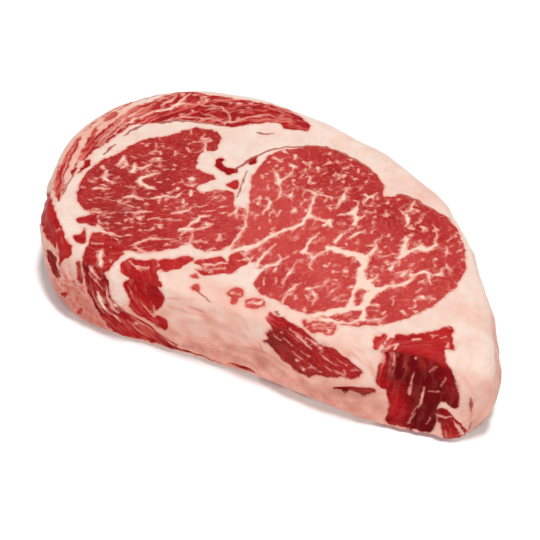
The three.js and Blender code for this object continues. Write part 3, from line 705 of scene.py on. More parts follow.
def strewn_seams(muscles, seed):
    """Short seams of marbling strewn over the muscles, along their grain and some of them branched, and
    longer thin ones where a muscle is in strands."""
    drawn = np.random.default_rng(seed)
    seams = []
    for _, _, marbling, strands, grain, points in muscles:
        curve = rounded(points)
        low, high = curve.min(0), curve.max(0)
        in_rings = grain[0] == "ring"
        kinds = [
            # how many to a square millimetre, length, width, how far off the grain in degrees, share branched
            (0.055 * marbling, 1.8 if in_rings else 1.5, 0.78, 13 if in_rings else 23, 0.25),
            (0.03 * marbling, 0.5, 0.7, 60, 0.0),
            (0.008 * strands, 6.0, 0.5, 6, 0.1),
        ]
        for per_area, length, width, stray, branched in kinds:
            count = int(per_area * np.prod(high - low))
            if count == 0:
                continue
            spots = drawn.uniform(low, high, (count, 2))
            dense = waves(spots, 16, seed + 1) + drawn.uniform(-0.9, 0.9, count) > -0.2
            spots = spots[(depth_inside(spots, points) > 0.4) & dense]
            for spot in spots:
                heading = grain_heading(spot, grain) + math.radians(drawn.normal(0, stray))
                reach = 0.5 * length * drawn.lognormal(0, 0.42)
                wide = width * drawn.lognormal(0, 0.3)
                forward = np.array([math.cos(heading), math.sin(heading)])
                middle = spot + 0.25 * reach * drawn.normal() * np.array([-forward[1], forward[0]])
                start, end = spot - reach * forward, spot + reach * forward
                seams.append([(*start, 0.35 * wide), (*middle, wide), (*end, 0.3 * wide)])
                if drawn.random() < branched:
                    heading += math.radians(drawn.choice((-1, 1)) * drawn.uniform(35, 80))
                    tip = middle + 0.8 * reach * np.array([math.cos(heading), math.sin(heading)])
                    seams.append([(*middle, 0.8 * wide), (*tip, 0.3 * wide)])
    return seams


WIDE_SEAM, SPUR_GAP = 0.8, 3.2  # millimetres


def spurs(seams, seed):
    """Short thorns of fat that stand off the wider seams and run out into the lean on both sides."""
    drawn = np.random.default_rng(seed)
    thorns = []
    for seam in seams:
        for start, end in zip(seam, seam[1:]):
            way = np.array(end[:2], float) - start[:2]
            length = np.linalg.norm(way)
            width = 0.5 * (start[2] + end[2])
            if width < WIDE_SEAM or length < 0.5:
                continue
            for _ in range(drawn.poisson(length / SPUR_GAP)):
                side = drawn.choice((-1, 1))
                heading = math.atan2(way[1], way[0]) + side * math.radians(drawn.uniform(35, 80))
                forward = np.array([math.cos(heading), math.sin(heading)])
                foot = np.array(start[:2], float) + drawn.random() * way + 0.3 * width * forward
                tip = foot + drawn.uniform(1.0, 2.6) * forward
                thorns.append([(*foot, 0.75), (*tip, 0.2)])
    return thorns


MEMBRANES_AND_CREASE_SHADE = [
    # thin skins of connective tissue, seen on edge: brown lines of about half a millimetre, and one line of
    # painted shade
    [(-30.4, 13.4, 0.8), (-29.2, 19, 1), (-26.8, 26, 0.8), (-23.6, 32, 0.6), (-18.6, 36.6, 0.6),
     (-13, 40.5, 0.6), (-6, 43.6, 0.5), (2, 44, 0.5), (10, 42.5, 0.4), (17, 40.2, 0.4), (22, 37.1, 0.2)],
    [(32.4, 31.4, 0.3), (34.4, 32.4, 0.6), (38.6, 32.3, 0.5), (43, 31.6, 0.4), (50, 30.2, 0.3),
     (56, 28.8, 0.2)],
    [(-25.4, 15, 0.2), (-24.2, 10, 0.4), (-22.4, 4, 0.5), (-21, 0, 0.2)],
    [(-77, 20, 0.3), (-78.6, 16, 0.8), (-79.6, 12, 1), (-79.6, 9, 0.4)],
    [(-80, 1.6, 0.4), (-80.2, -1.6, 0.9), (-80, -5.4, 0.4)],
    [(-73.8, 22.6, 0.7), (-71.6, 24, 1.3), (-69.4, 26, 0.9)],
    [(-68, 27.6, 0.8), (-66.4, 28.4, 1), (-64.6, 28.6, 0.4)],
    [(-66, 29.2, 0.2), (-61, 30.8, 0.6), (-55, 33, 0.5), (-50, 34.6, 0.3)],
    [(-83.6, -22, 0.3), (-82.4, -27, 0.5), (-80.4, -32.6, 0.3)],
    [(-34.6, 38.2, 0.4), (-33.2, 38.8, 0.9), (-30.6, 39, 0.7), (-28.4, 40.6, 0.2)],
    [(22.6, -45, 0.8), (23.2, -45.4, 0.6)],
    # painted shade: a dark line along the crease where the top face turns down into the front rim
    [(-9.6, -49.4, 0.2), (-7.8, -50, 0.4), (-4.8, -50.9, 0.35), (-1.6, -51.3, 0.2)],
]
WALL_MEMBRANES = [
    [(238.2, 15.4, 0.3), (238.3, 18, 1.3), (238.4, 21, 0.3)], [(240.2, 3, 0.9), (241.2, 7.6, 0.4)],
    [(125, 2.6, 0.3), (133, 2.4, 0.5), (142, 2.2, 0.3)],
    [(78.6, 30.4, 0.4), (81, 27.6, 0.7), (83, 24, 0.4)],
    [(108, 12.4, 0.3), (114, 10, 0.7), (119, 7.4, 0.8), (124, 4.6, 0.4)],
    [(99, 20, 0.3), (102, 17, 0.6), (106, 13.8, 0.4)], [(-4, 13.6, 0.4), (2, 12.6, 0.9), (8, 10, 0.4)],
    [(15.4, 13, 0.5), (17, 11.6, 1.2), (18, 11, 0.4)],
]


def over_all(on_the_top, on_the_wall, on_the_base):
    """One value for every place, from those of the two cut faces and of the wall."""
    return on_the_wall + on_top * (on_the_top - on_the_wall) + on_base * (on_the_base - on_the_wall)


ragged_top = top_view + 0.42 * np.stack([waves(place, 3.6, 11), waves(place, 3.6, 12)], 1)
ragged_wall = wall_view + 0.35 * np.stack([waves(place, 5, 13), waves(place, 5, 14)], 1)
of_top = read_muscles(ragged_top, TOP_MUSCLES)
of_wall = read_muscles(ragged_wall, WALL_MUSCLES)
of_base = read_muscles(base_view, TOP_MUSCLES)
lean, tone, marbling, strands = (over_all(*parts) for parts in list(zip(of_top, of_wall, of_base))[:4])
mostly_top, mostly_base = on_top > 0.5, on_base > 0.5
along, across = (
    np.where(mostly_top, on_the_top, np.where(mostly_base, on_the_base, on_the_wall))
    for on_the_top, on_the_wall, on_the_base in list(zip(of_top, of_wall, of_base))[4:]
)
LEAN_STRANDS = [
    # strands of lean that run through the fat round the end of the cap, with their widths
    [(-88.4, 36, 0.4), (-90.2, 30, 0.8), (-91.4, 25, 0.7), (-92.2, 21, 0.3)],
    [(-92.6, 11, 0.4), (-93, 7.6, 0.7), (-92.6, 4, 0.3)],
    [(-95, 15, 0.2), (-95.6, 9, 0.6), (-95.8, 3, 0.4)],
    [(-89.2, -7, 0.5), (-87.4, -13, 0.8), (-85.8, -18, 0.4)],
    [(-92.6, -19, 0.3), (-89.6, -25.4, 0.7), (-86.4, -31, 0.4)],
    [(-84.6, -24, 0.3), (-82.6, -29, 0.6), (-80.6, -34, 0.3)],
    [(-81.6, 44.6, 0.3), (-84.6, 40, 0.6), (-87, 35, 0.3)],
    [(-93.4, 24, 0.2), (-94.6, 18, 0.5), (-95, 13, 0.2)],
]
strand_depth = -nearest_seam(ragged_top, LEAN_STRANDS)[0]
lean = np.where(on_top > 0.3, np.maximum(lean, strand_depth), lean)
TOP_SEAMS += spurs(TOP_SEAMS, 23) + strewn_seams(TOP_MUSCLES, 21)
WALL_SEAMS += strewn_seams(WALL_MUSCLES, 22)


def over_all_lines(on_the_top, on_the_wall):
    """The gap, the middle and the half width of the nearest line for every place."""
    of_parts = (
        nearest_seam(ragged_top, on_the_top),
        nearest_seam(ragged_wall, on_the_wall),
        nearest_seam(base_view, on_the_top),
    )
    gap = over_all(*(part[0] for part in of_parts))
    middle, half_width = (
        np.where(mostly_top, top, np.where(mostly_base, base, wall))
        for top, wall, base in list(zip(*of_parts))[1:]
    )
    return gap, middle, half_width * (1.16 + 0.35 * waves(place, 2.6, 15))


seam, seam_middle, seam_half = over_all_lines(TOP_SEAMS, WALL_SEAMS)
line, line_middle, line_half = over_all_lines(MEMBRANES_AND_CREASE_SHADE, WALL_MEMBRANES)


# ---- Relief ------------------------------------------------------------------------------------------
# Lean shrinks back a little where it was cut and the firmer fat stands proud of it. Round the wall the
# layers lie in ridges, and the fat has soft folds and creases.
CREASES = [
    # depth, then the line round the wall with its width
    (1.1, [(236, 14, 2.6), (237.4, 18, 3), (238.6, 21, 2.4)]), (1.0, [(240, 2, 2), (240.6, 7, 2.4)]),
    (0.8, [(243, 6, 3), (244, 16, 3), (242, 26, 3)]), (0.7, [(252, 8, 3), (256, 20, 3.4), (254, 30, 2)]),
    (0.7, [(125, 6, 3), (140, 9, 3), (156, 8, 2)]), (0.6, [(128, 20, 3), (140, 24, 4), (152, 22, 3)]),
    (0.6, [(142, 12, 3), (155, 15, 3), (168, 12, 2)]),
    (0.9, [(188, 12, 2.4), (198, 14.6, 3), (206, 16, 2)]), (0.7, [(76, 26, 3), (82, 18, 3), (88, 10, 3)]),
    (0.6, [(70, 14, 3), (80, 8, 3), (88, 5, 3)]), (0.6, [(20, 12, 3), (34, 9, 3), (50, 10, 3)]),
    (0.6, [(270, 10, 4), (300, 14, 4), (330, 12, 4)]), (0.6, [(280, 24, 4), (310, 27, 4), (350, 25, 4)]),
    (0.6, [(-120, 9, 4), (-90, 11, 4), (-50, 8, 4)]),
]
FAT_STANDS, SEAM_STANDS, LEAN_SINKS = 0.22, 0.14, 0.5  # millimetres; the last one is on the wall only
EVEN = 0.2  # millimetres taken off everywhere, about as much as the fat stands out
relief = FAT_STANDS * (1 - ramp(lean, -0.4, 0.5)) + SEAM_STANDS * (1 - ramp(seam, -0.3, 0.5)) * (lean > 0)
relief -= EVEN
relief -= on_side * LEAN_SINKS * ramp(lean, -0.6, 0.8)
for depth, crease in CREASES:
    relief -= on_side * depth * (1 - ramp(nearest_seam(wall_view, [crease])[0], -1.2, 1.6))
RIDGE_GAP, RIDGE_HEIGHT = 2.6, 0.14  # millimetres
ridges = np.sin(2 * math.pi * (across + 0.8 * waves(wall_view, 9, 3)) / RIDGE_GAP)
relief += on_side * RIDGE_HEIGHT * ramp(lean, -0.2, 0.8) * strands * ridges
relief += on_side * (0.35 * waves(place, 14, 4) + 0.16 * waves(place, 5, 5) - EVEN)
relief += on_top * (0.16 * waves(place, 11, 6) + 0.07 * waves(place, 4, 7))
relief *= ramp(z, 0, 2.5)  # the lower edge stays where it lies
cut = np.clip(place + facing * relief[:, None], low_corner, high_corner)
slice_mesh.vertices.foreach_set("co", (cut * MM).ravel())
slice_mesh.update()

# ---- Tints -------------------------------------------------------------------------------------------
# Lean darkens where air has reached it for longest, and the fat is creamy inside and pinker where the
# outer skin was pulled off it. The same blush also holds painted shade in the folds of the wall, and a
# painted sheen on some pale patches of it.
TOP_TINTS = [
    # x, y, how far it reaches, how much darker
    (5, 36, 24, 0.28), (45, 22, 20, 0.22), (32, 20, 12, 0.16), (-5, 5, 26, -0.14), (20, -15, 26, -0.12),
    (-63, -18, 22, 0.14), (-30, -15, 20, -0.12), (-55, 38, 16, 0.14), (85, -42, 14, 0.12),
    (72, -42, 9, 0.05), (10, -33, 7, 0.2), (-50, -33, 12, 0.06), (62, -5, 14, -0.05),
]
for centre_x, centre_y, extent, darker in TOP_TINTS:
    tone += on_top * darker * patch(top_view, (centre_x, centre_y), extent)
WALL_TINTS = [
    # run, height, how far it reaches each way, how much darker
    (222, 14, 9, 14, 0.2), (211, 9, 4.5, 8, -0.5), (206.5, 25, 2.6, 9, -0.5), (102, 7, 13, 6, -0.36),
    (115, 28, 5, 4, 0.22), (164, 23, 5, 5, 0.2),
]
for *sizes, darker in WALL_TINTS:
    tone += on_side * darker * patch(wall_view, sizes[:2], sizes[2:])
# the sawn face has upright stripes near its left edge
stripes = np.sin(2 * math.pi * (run - 0.12 * (z - 30) - 208.4) / 3.1) * np.exp(-(((run - 211.5) / 4.5) ** 2))
tone -= on_side * (0.16 + 0.2 * stripes) * np.exp(-(((run - 211) / 5) ** 2)) * ramp(z, 22, 30)
strands += on_side * np.exp(-(((run - 210) / 4.5) ** 2)) * ramp(z, 21, 29)
tone += 0.1 * waves(place, 16, 8)

# how much each place belongs to the rib side, the tail and the nose, by its run
front = ramp(run, 70, 90) * (1 - ramp(run, 200, 215))
tail = ramp(run, 50, 70) * (1 - ramp(run, 90, 110))
nose = ramp(run, 232, 242) * (1 - ramp(run, 262, 285))
lower = 1 - ramp(z, 6, 32)
blush_and_painted_light = 0.06 + on_side * (0.26 + 0.08 * lower + 0.26 * front * lower + 0.5 * tail * lower + 0.2 * nose)
TOP_BLUSHES = [
    # x, y, how far it reaches each way, how much pinker the fat is
    (40, 38, 18, 9, 0.2), (82, -13, 9, 6, 0.2), (45, -46, 14, 6, 0.2),
]
for *sizes, pinker in TOP_BLUSHES:
    blush_and_painted_light += on_top * pinker * patch(top_view, sizes[:2], sizes[2:])
blush_and_painted_light += on_top * 0.3 * np.exp(-(((x - 6) / 22) ** 2)) * ramp(-y, 36, 48)
blush_and_painted_light += on_top * 0.35 * ramp(-x, 79, 90) * (1 - ramp(y, 15, 40)) * (1 - ramp(-y, 30, 45))
# on the wall fat: the paler spots are partly paler fat and partly a painted sheen of the wet fat; the pinker
# ones are the fat's own colour
FAT_SPOTS_AND_PAINTED_SHEEN = [
    # run, height, how far it reaches each way, how much paler it is, or how much pinker if negative
    (101, 25, 5, 6, 0.4), (96, 12, 2.5, 5, 0.4), (128, 29, 9, 4, 0.05), (127, 13, 5, 5, 0.16),
    (157, 24, 4, 6, 0.1), (203, 25, 5, 6, 0.15), (232, 8, 3, 4, 0.3), (240, 26, 5, 9, 0.25),
    (139, 22, 4, 5, -0.1), (134, 6, 5, 4, -0.08), (160, 14, 6, 5, -0.22), (178, 9, 6, 4, -0.28),
    (190, 8, 8, 4, -0.18), (201, 11, 5, 5, -0.14), (151, 8, 4, 3, -0.1),
]
for *sizes, paler in FAT_SPOTS_AND_PAINTED_SHEEN:
    blush_and_painted_light -= on_side * paler * patch(wall_view, sizes[:2], sizes[2:])
PAINTED_FOLD_SHADE = [
    # fine folds of the fat on the rib side and round the nose: painted shade makes their bottoms darker and
    # pinker
    [(122, 24, 0.8), (127, 24.6, 0.9), (133, 24.2, 0.7), (139, 24.8, 0.5)],
    [(121, 28, 0.5), (126, 30, 0.6), (131, 31, 0.5)],
    [(130, 27.4, 0.4), (135, 27, 0.7), (140, 26.2, 0.5)],
    [(148, 31, 0.5), (151.6, 29, 0.8), (154.4, 26, 0.6)],
    [(156, 24, 0.4), (158.4, 21, 0.7), (159.4, 17, 0.4)],
    [(201.4, 32, 0.4), (203, 28, 0.7), (203.2, 24, 0.5)],
    [(197.6, 33.4, 0.4), (200.6, 31.4, 0.6), (202, 29, 0.4)],
    [(152, 14, 0.6), (158, 16.6, 0.9), (165, 17, 0.8), (170, 14.6, 0.5)],
    [(196, 31, 0.5), (200, 28.6, 0.7), (203.6, 25.6, 0.7), (204.6, 22, 0.5)],
    [(183, 33, 0.5), (190, 32, 0.6), (196, 29.6, 0.5)],
    [(236.2, 33, 0.5), (238.4, 28, 0.9), (239.6, 22, 1.1), (238.2, 16, 1), (239, 9, 0.8)],
    [(243, 34, 0.5), (245, 26, 0.8), (244.4, 16, 0.8), (242.6, 6, 0.7)],
    [(250, 33, 0.5), (251, 24, 0.6), (249, 14, 0.5)], [(82, 15, 0.4), (84.6, 10, 0.7), (86, 6, 0.5)],
    [(72, 24, 0.5), (76, 20, 0.7), (79, 14, 0.5)], [(257, 32, 0.4), (259, 22, 0.6), (258, 12, 0.4)],
]
# painted shade along the bottoms of the folds, added into the fat's blush
fold_shade_gap = nearest_seam(ragged_wall, PAINTED_FOLD_SHADE)[0]
blush_and_painted_light += on_side * (0.4 - 0.26 * nose) * (1 - ramp(fold_shade_gap, -0.5, 0.9)) * (0.8 + 0.5 * waves(place, 7, 41))
blush_and_painted_light += 0.07 * waves(place, 12, 9) + on_side * front * 0.13 * waves(place, 6, 10)
speckle = on_side * np.maximum(0.95 * tail * (1 - ramp(z, 20, 30)), 0.3 * front * (1 - ramp(z, 6, 20)))

# one number for each vertex, for the material to read
for name, values in {
    "lean_depth": lean,
    "seam_gap": seam, "seam_middle": seam_middle, "seam_half": seam_half,
    "membrane_and_shade_gap": line, "membrane_and_shade_middle": line_middle, "membrane_and_shade_half": line_half,
    "lean_tone": np.clip(tone, 0, 1),
    "marbling": np.clip(marbling, 0, 1),
    "strands": np.clip(strands, 0, 1),
    "fat_blush_and_painted_light": np.clip(blush_and_painted_light, 0, 1),
    "fat_speckle": np.clip(speckle, 0, 1),
}.items():
    kept = slice_mesh.attributes.new(name, "FLOAT", "POINT")
    kept.data.foreach_set("value", values.astype(np.float32))
grain = np.stack([along, across, z], 1).astype(np.float32)
kept = slice_mesh.attributes.new("grain", "FLOAT_VECTOR", "POINT")
kept.data.foreach_set("vector", grain.ravel())


# ---- Raw beef ----------------------------------------------------------------------------------------
# Wet lean and fat in one skin: red muscle with flecks of fat along its grain, dull pink where a fleck is
# thin, and cream where fat lies thick. Both are a little see-through, and a film of juice makes them shine.
def linear(code):
    """The linear colour of an sRGB hex value."""
    parts = [int(code[i : i + 2], 16) / 255 for i in (1, 3, 5)]
    return tuple(p / 12.92 if p <= 0.04045 else ((p + 0.055) / 1.055) ** 2.4 for p in parts) + (1.0,)


beef = bpy.data.materials.new("raw_beef")
beef.use_nodes = True
tree = beef.node_tree
tree.nodes.clear()


def node(kind, inputs=(), output=0, **settings):
    """Adds a node with its settings and links, and gives one output. The inputs are values or outputs, by
    name or, in a list, by position."""
    made = tree.nodes.new(kind)
    for name, value in settings.items():
        setattr(made, name, value)
    by_name = inputs if isinstance(inputs, dict) else dict(enumerate(inputs))
    for name, value in by_name.items():
        if isinstance(value, bpy.types.NodeSocket):
            tree.links.new(value, made.inputs[name])
        else:
            made.inputs[name].default_value = value
    return None if output is None else made.outputs[output]


SOFTLY = {"interpolation_type": "SMOOTHSTEP"}
COLOUR = {"data_type": "RGBA", "output": 2}
where = node("ShaderNodeTexCoord", output="Object")
spot = node("ShaderNodeMapping", {"Vector": where, "Scale": (1 / MM, 1 / MM, 1 / MM)})
grain_lie = node("ShaderNodeAttribute", attribute_name="grain", output="Vector")
lean_in = node("ShaderNodeAttribute", attribute_name="lean_depth", output="Fac")
LOOSE_ENDS = 0.45  # millimetres past its end, or past its edge, at which a line is cut off
line_edges = {}
for name in ("seam", "membrane_and_shade"):
    gap = node("ShaderNodeAttribute", attribute_name=name + "_gap", output="Fac")
    middle = node("ShaderNodeAttribute", attribute_name=name + "_middle", output="Fac")
    half = node("ShaderNodeAttribute", attribute_name=name + "_half", output="Fac")
    from_middle = node("ShaderNodeMath", [middle], operation="ABSOLUTE")
    from_edge = node("ShaderNodeMath", [from_middle, half], operation="SUBTRACT")
    past_end = node("ShaderNodeMath", [gap, LOOSE_ENDS], operation="SUBTRACT")
    line_edges[name] = node("ShaderNodeMath", [from_edge, past_end], operation="MAXIMUM")
    line_edges[name + "_gap"] = gap
    line_edges[name + "_half"] = half
seam_off = line_edges["seam"]
line_off = line_edges["membrane_and_shade"]
tone_kept, blush_and_light_kept, speckle_kept, marbling_kept, strands_kept = (
    node("ShaderNodeAttribute", attribute_name=name, output="Fac")
    for name in ("lean_tone", "fat_blush_and_painted_light", "fat_speckle", "marbling", "strands")
)

# the edges of the lean and of the seams wander by half a millimetre, as fibres end at different places
EDGE_WANDER = 2.2  # millimetres from one small bay in the edge to the next
wander = node(
    "ShaderNodeTexNoise", {"Vector": spot, "Scale": 1 / EDGE_WANDER, "Detail": 3.0, "Roughness": 0.62}
)
lean_wander = node("ShaderNodeMapRange", [wander, 0.3, 0.7, -0.4, 0.4])
lean_here = node("ShaderNodeMath", [lean_in, lean_wander], operation="ADD")
lean_share = node("ShaderNodeMapRange", [lean_here, -0.36, 0.36], **SOFTLY)

# marbling lies along the grain, and it is denser beside the seams that it grows from
FLECK_LENGTH, FLECK_WIDTH = 3.6, 1.8  # millimetres from one fleck to the next, along and across the grain
fleck_lie = node(
    "ShaderNodeMapping", {"Vector": grain_lie, "Scale": (1 / FLECK_LENGTH, 1 / FLECK_WIDTH, 0.3)}
)
flecks = node(
    "ShaderNodeTexNoise",
    {"Vector": fleck_lie, "Scale": 1.0, "Detail": 2.0, "Roughness": 0.6, "Distortion": 0.25},
)
DENSE_PATCHES = 12  # millimetres from one patch of denser marbling to the next
patches = node("ShaderNodeTexNoise", {"Vector": spot, "Scale": 1 / DENSE_PATCHES, "Detail": 1.0})
patch_lift = node("ShaderNodeMapRange", [patches, 0.3, 0.7, -0.03, 0.03])
muscle_lift = node("ShaderNodeMapRange", [marbling_kept, 0.0, 1.0, -0.16, 0.0])
seam_pull = node("ShaderNodeMapRange", [line_edges["seam_gap"], 2.4, 0.0, 0.0, 0.06])
fleck_level = node("ShaderNodeMath", [flecks, patch_lift], operation="ADD")
fleck_level = node("ShaderNodeMath", [fleck_level, seam_pull], operation="ADD")
fleck_level = node("ShaderNodeMath", [fleck_level, muscle_lift], operation="ADD")
fleck_share = node("ShaderNodeMapRange", [fleck_level, 0.6, 0.76, 0.0, 0.4], **SOFTLY)
FINE_SCALE = (0.6, 1.3, 0.4)  # to a millimetre, along the grain, across it and down into the slice
fine_lie = node("ShaderNodeMapping", {"Vector": grain_lie, "Scale": FINE_SCALE, "Location": (7, 3, 0)})
fine = node("ShaderNodeTexNoise", {"Vector": fine_lie, "Scale": 1.0, "Detail": 3.0, "Roughness": 0.6})
fine_spots = node("ShaderNodeMapRange", [fine, 0.52, 0.7, 0.0, 0.55], **SOFTLY)
fine_share = node("ShaderNodeMath", [fine_spots, marbling_kept], operation="MULTIPLY")
THORNS = 1.3  # millimetres between the small spurs of fat along a seam
thorns = node("ShaderNodeTexNoise", {"Vector": spot, "Scale": 1 / THORNS, "Detail": 2.0, "Roughness": 0.6})
seam_wander = node("ShaderNodeMapRange", [thorns, 0.3, 0.7, -0.42, 0.42])
wander_size = node("ShaderNodeMapRange", [line_edges["seam_half"], 0.2, 0.8, 0.45, 1.1])
seam_wander = node("ShaderNodeMath", [seam_wander, wander_size], operation="MULTIPLY")
seam_here = node("ShaderNodeMath", [seam_off, seam_wander], operation="ADD")
seam_share = node("ShaderNodeMapRange", [seam_here, 0.36, -0.28], **SOFTLY)
# the thinnest seams let the lean show through
seam_weight = node("ShaderNodeMapRange", [line_edges["seam_half"], 0.12, 0.45, 0.6, 1.0])
seam_share = node("ShaderNodeMath", [seam_share, seam_weight], operation="MULTIPLY")

# lean goes from a bright scarlet where it was just cut to a dark crimson
TONE_CLOUDS = 5  # millimetres from one darker cloud to the next
tone_noise = node(
    "ShaderNodeTexNoise", {"Vector": spot, "Scale": 1 / TONE_CLOUDS, "Detail": 3.0, "Roughness": 0.6}
)
tone_shift = node("ShaderNodeMapRange", [tone_noise, 0.3, 0.7, -0.13, 0.13])
tone_here = node("ShaderNodeMath", [tone_kept, tone_shift], operation="ADD")
STRAND_LENGTH, STRAND_WIDTH = 13, 2.1  # millimetres
strand_scale = (1 / STRAND_LENGTH, 1 / STRAND_WIDTH, 0.1)
strand_lie = node("ShaderNodeMapping", {"Vector": grain_lie, "Scale": strand_scale})
strand_noise = node(
    "ShaderNodeTexNoise", {"Vector": strand_lie, "Scale": 1.0, "Detail": 3.0, "Roughness": 0.6}
)
strand_shift = node("ShaderNodeMapRange", [strand_noise, 0.3, 0.7, 0.25, -0.2])
strand_shift = node("ShaderNodeMath", [strand_shift, strands_kept], operation="MULTIPLY")
tone_here = node("ShaderNodeMath", [tone_here, strand_shift], operation="ADD")
to_middle = node("ShaderNodeMapRange", [tone_here, 0.0, 0.5])
to_dark = node("ShaderNodeMapRange", [tone_here, 0.5, 1.0])
lean_colour = node("ShaderNodeMix", {0: to_middle, 6: linear("#b9201f"), 7: linear("#9e0b12")}, **COLOUR)
lean_colour = node("ShaderNodeMix", {0: to_dark, 6: lean_colour, 7: linear("#62030a")}, **COLOUR)
BUNDLE_WIDTH = 0.9  # millimetres across one bundle of fibres, cut on end
bundles = node(
    "ShaderNodeTexNoise", {"Vector": spot, "Scale": 1 / BUNDLE_WIDTH, "Detail": 2.0, "Roughness": 0.6}
)
bundle_spots = node("ShaderNodeMapRange", [bundles, 0.4, 0.7, 0.0, 0.2], **SOFTLY)
bundle_weight = node("ShaderNodeMapRange", [tone_here, 0.5, 0.9, 1.0, 0.25])
bundle_share = node("ShaderNodeMath", [bundle_spots, bundle_weight], operation="MULTIPLY")
lean_colour = node("ShaderNodeMix", {0: bundle_share, 6: lean_colour, 7: linear("#ca4640")}, **COLOUR)
haze_level = node("ShaderNodeMapRange", [tone_here, 0.0, 0.5, 0.19, 0.06])  # fat too fine to be told apart
haze_share = node("ShaderNodeMath", [haze_level, marbling_kept], operation="MULTIPLY")
lean_colour = node("ShaderNodeMix", {0: haze_share, 6: lean_colour, 7: linear("#de8c84")}, **COLOUR)
streak_spots = node("ShaderNodeMapRange", [strand_noise, 0.47, 0.65, 0.0, 0.8], **SOFTLY)
streak_share = node("ShaderNodeMath", [streak_spots, strands_kept], operation="MULTIPLY")
lean_colour = node("ShaderNodeMix", {0: streak_share, 6: lean_colour, 7: linear("#dc7468")}, **COLOUR)
lean_colour = node("ShaderNodeMix", {0: fine_share, 6: lean_colour, 7: linear("#d2685a")}, **COLOUR)

# fat is cream where it is thick, and pinker where it is thin or lies against lean; its blush also brings
# the painted shade of the wall's folds and the painted sheen of some pale patches
MOTTLE = 7  # millimetres from one pinker place in the fat to the next
fat_mottle = node(
    "ShaderNodeTexNoise", {"Vector": spot, "Scale": 1 / MOTTLE, "Detail": 4.0, "Roughness": 0.6}
)
mottle_shift = node("ShaderNodeMapRange", [fat_mottle, 0.3, 0.7, -0.12, 0.12])
blush_and_light_here = node("ShaderNodeMath", [blush_and_light_kept, mottle_shift], operation="ADD")
to_pink = node("ShaderNodeMapRange", [blush_and_light_here, 0.0, 0.5])
to_red = node("ShaderNodeMapRange", [blush_and_light_here, 0.5, 1.0])
fat_colour = node("ShaderNodeMix", {0: to_pink, 6: linear("#e8d1c4"), 7: linear("#e3ac9b")}, **COLOUR)
fat_colour = node("ShaderNodeMix", {0: to_red, 6: fat_colour, 7: linear("#c87e6e")}, **COLOUR)
SPECKLE_SIZE = 1.9  # millimetres between the red specks in the fat of the tail
speckles = node(
    "ShaderNodeTexNoise", {"Vector": spot, "Scale": 1 / SPECKLE_SIZE, "Detail": 3.0, "Roughness": 0.7}
)
speckle_spots = node("ShaderNodeMapRange", [speckles, 0.47, 0.65], **SOFTLY)
speckle_share = node("ShaderNodeMath", [speckle_spots, speckle_kept], operation="MULTIPLY")
fat_colour = node("ShaderNodeMix", {0: speckle_share, 6: fat_colour, 7: linear("#cc4d45")}, **COLOUR)
SINEW_GAP = 14  # millimetres between the faint sinews in the fat
sinews = node(
    "ShaderNodeTexNoise",
    {"Vector": spot, "Scale": 1 / SINEW_GAP, "Detail": 3.0, "Roughness": 0.55, "Distortion": 0.8},
)
sinew_off = node("ShaderNodeMath", [sinews, 0.5], operation="SUBTRACT")
sinew_off = node("ShaderNodeMath", [sinew_off], operation="ABSOLUTE")
sinew_share = node("ShaderNodeMapRange", [sinew_off, 0.03, 0.0, 0.0, 0.16], **SOFTLY)
fat_colour = node("ShaderNodeMix", {0: sinew_share, 6: fat_colour, 7: linear("#cf9a8a")}, **COLOUR)
beside_lean = node("ShaderNodeMapRange", [lean_here, -1.3, -0.1, 0.0, 0.5], **SOFTLY)
fat_colour = node("ShaderNodeMix", {0: beside_lean, 6: fat_colour, 7: linear("#dc9685")}, **COLOUR)
seam_edge = node("ShaderNodeMapRange", [seam_off, -0.75, -0.1])
seam_cream = node("ShaderNodeMapRange", [line_edges["seam_half"], 0.25, 0.8])
seam_inside = node("ShaderNodeMix", {0: seam_cream, 6: linear("#e8a598"), 7: linear("#eccab9")}, **COLOUR)
seam_colour = node("ShaderNodeMix", {0: seam_edge, 6: seam_inside, 7: linear("#d6877a")}, **COLOUR)

colour = node("ShaderNodeMix", {0: fleck_share, 6: lean_colour, 7: linear("#dd877c")}, **COLOUR)
colour = node("ShaderNodeMix", {0: seam_share, 6: colour, 7: seam_colour}, **COLOUR)
colour = node("ShaderNodeMix", {0: lean_share, 6: fat_colour, 7: colour}, **COLOUR)
# the brown lines of the membranes, and the painted shade of one crease on the top face
line_wander = node("ShaderNodeMapRange", [wander, 0.3, 0.7, -0.15, 0.15])
line_here = node("ShaderNodeMath", [line_off, line_wander], operation="ADD")
line_share = node("ShaderNodeMapRange", [line_here, 0.45, -0.25, 0.0, 0.85], **SOFTLY)
colour = node("ShaderNodeMix", {0: line_share, 6: colour, 7: linear("#a03a2c")}, **COLOUR)

GRIT = 0.6  # millimetres between the smallest bumps
bump_parts = node("ShaderNodeTexNoise", {"Vector": spot, "Scale": 1 / GRIT, "Detail": 2.0, "Roughness": 0.6})
bump_height = node("ShaderNodeMath", [bundles, bump_parts], operation="ADD")
bumps = node("ShaderNodeBump", {"Height": bump_height, "Strength": 0.3, "Distance": 0.3 * MM})
JUICE = 3.2  # millimetres from one wetter place to the next
juice = node("ShaderNodeTexNoise", {"Vector": spot, "Scale": 1 / JUICE, "Detail": 3.0, "Roughness": 0.6})
wetness = node("ShaderNodeMapRange", [juice, 0.3, 0.7, 0.3, 0.5])
skin = node(
    "ShaderNodeBsdfPrincipled",
    {
        "Base Color": colour,
        "Roughness": wetness,
        "Normal": bumps,
        "IOR": 1.4,
        "Specular IOR Level": 0.04,
        "Subsurface Weight": 0.25,
        "Subsurface Radius": (1.0, 0.35, 0.25),
        "Subsurface Scale": MM,
    },
)
node("ShaderNodeOutputMaterial", {"Surface": skin}, output=None)
slice_mesh.materials.clear()
slice_mesh.materials.append(beef)

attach(steak, "root")
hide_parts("steak")

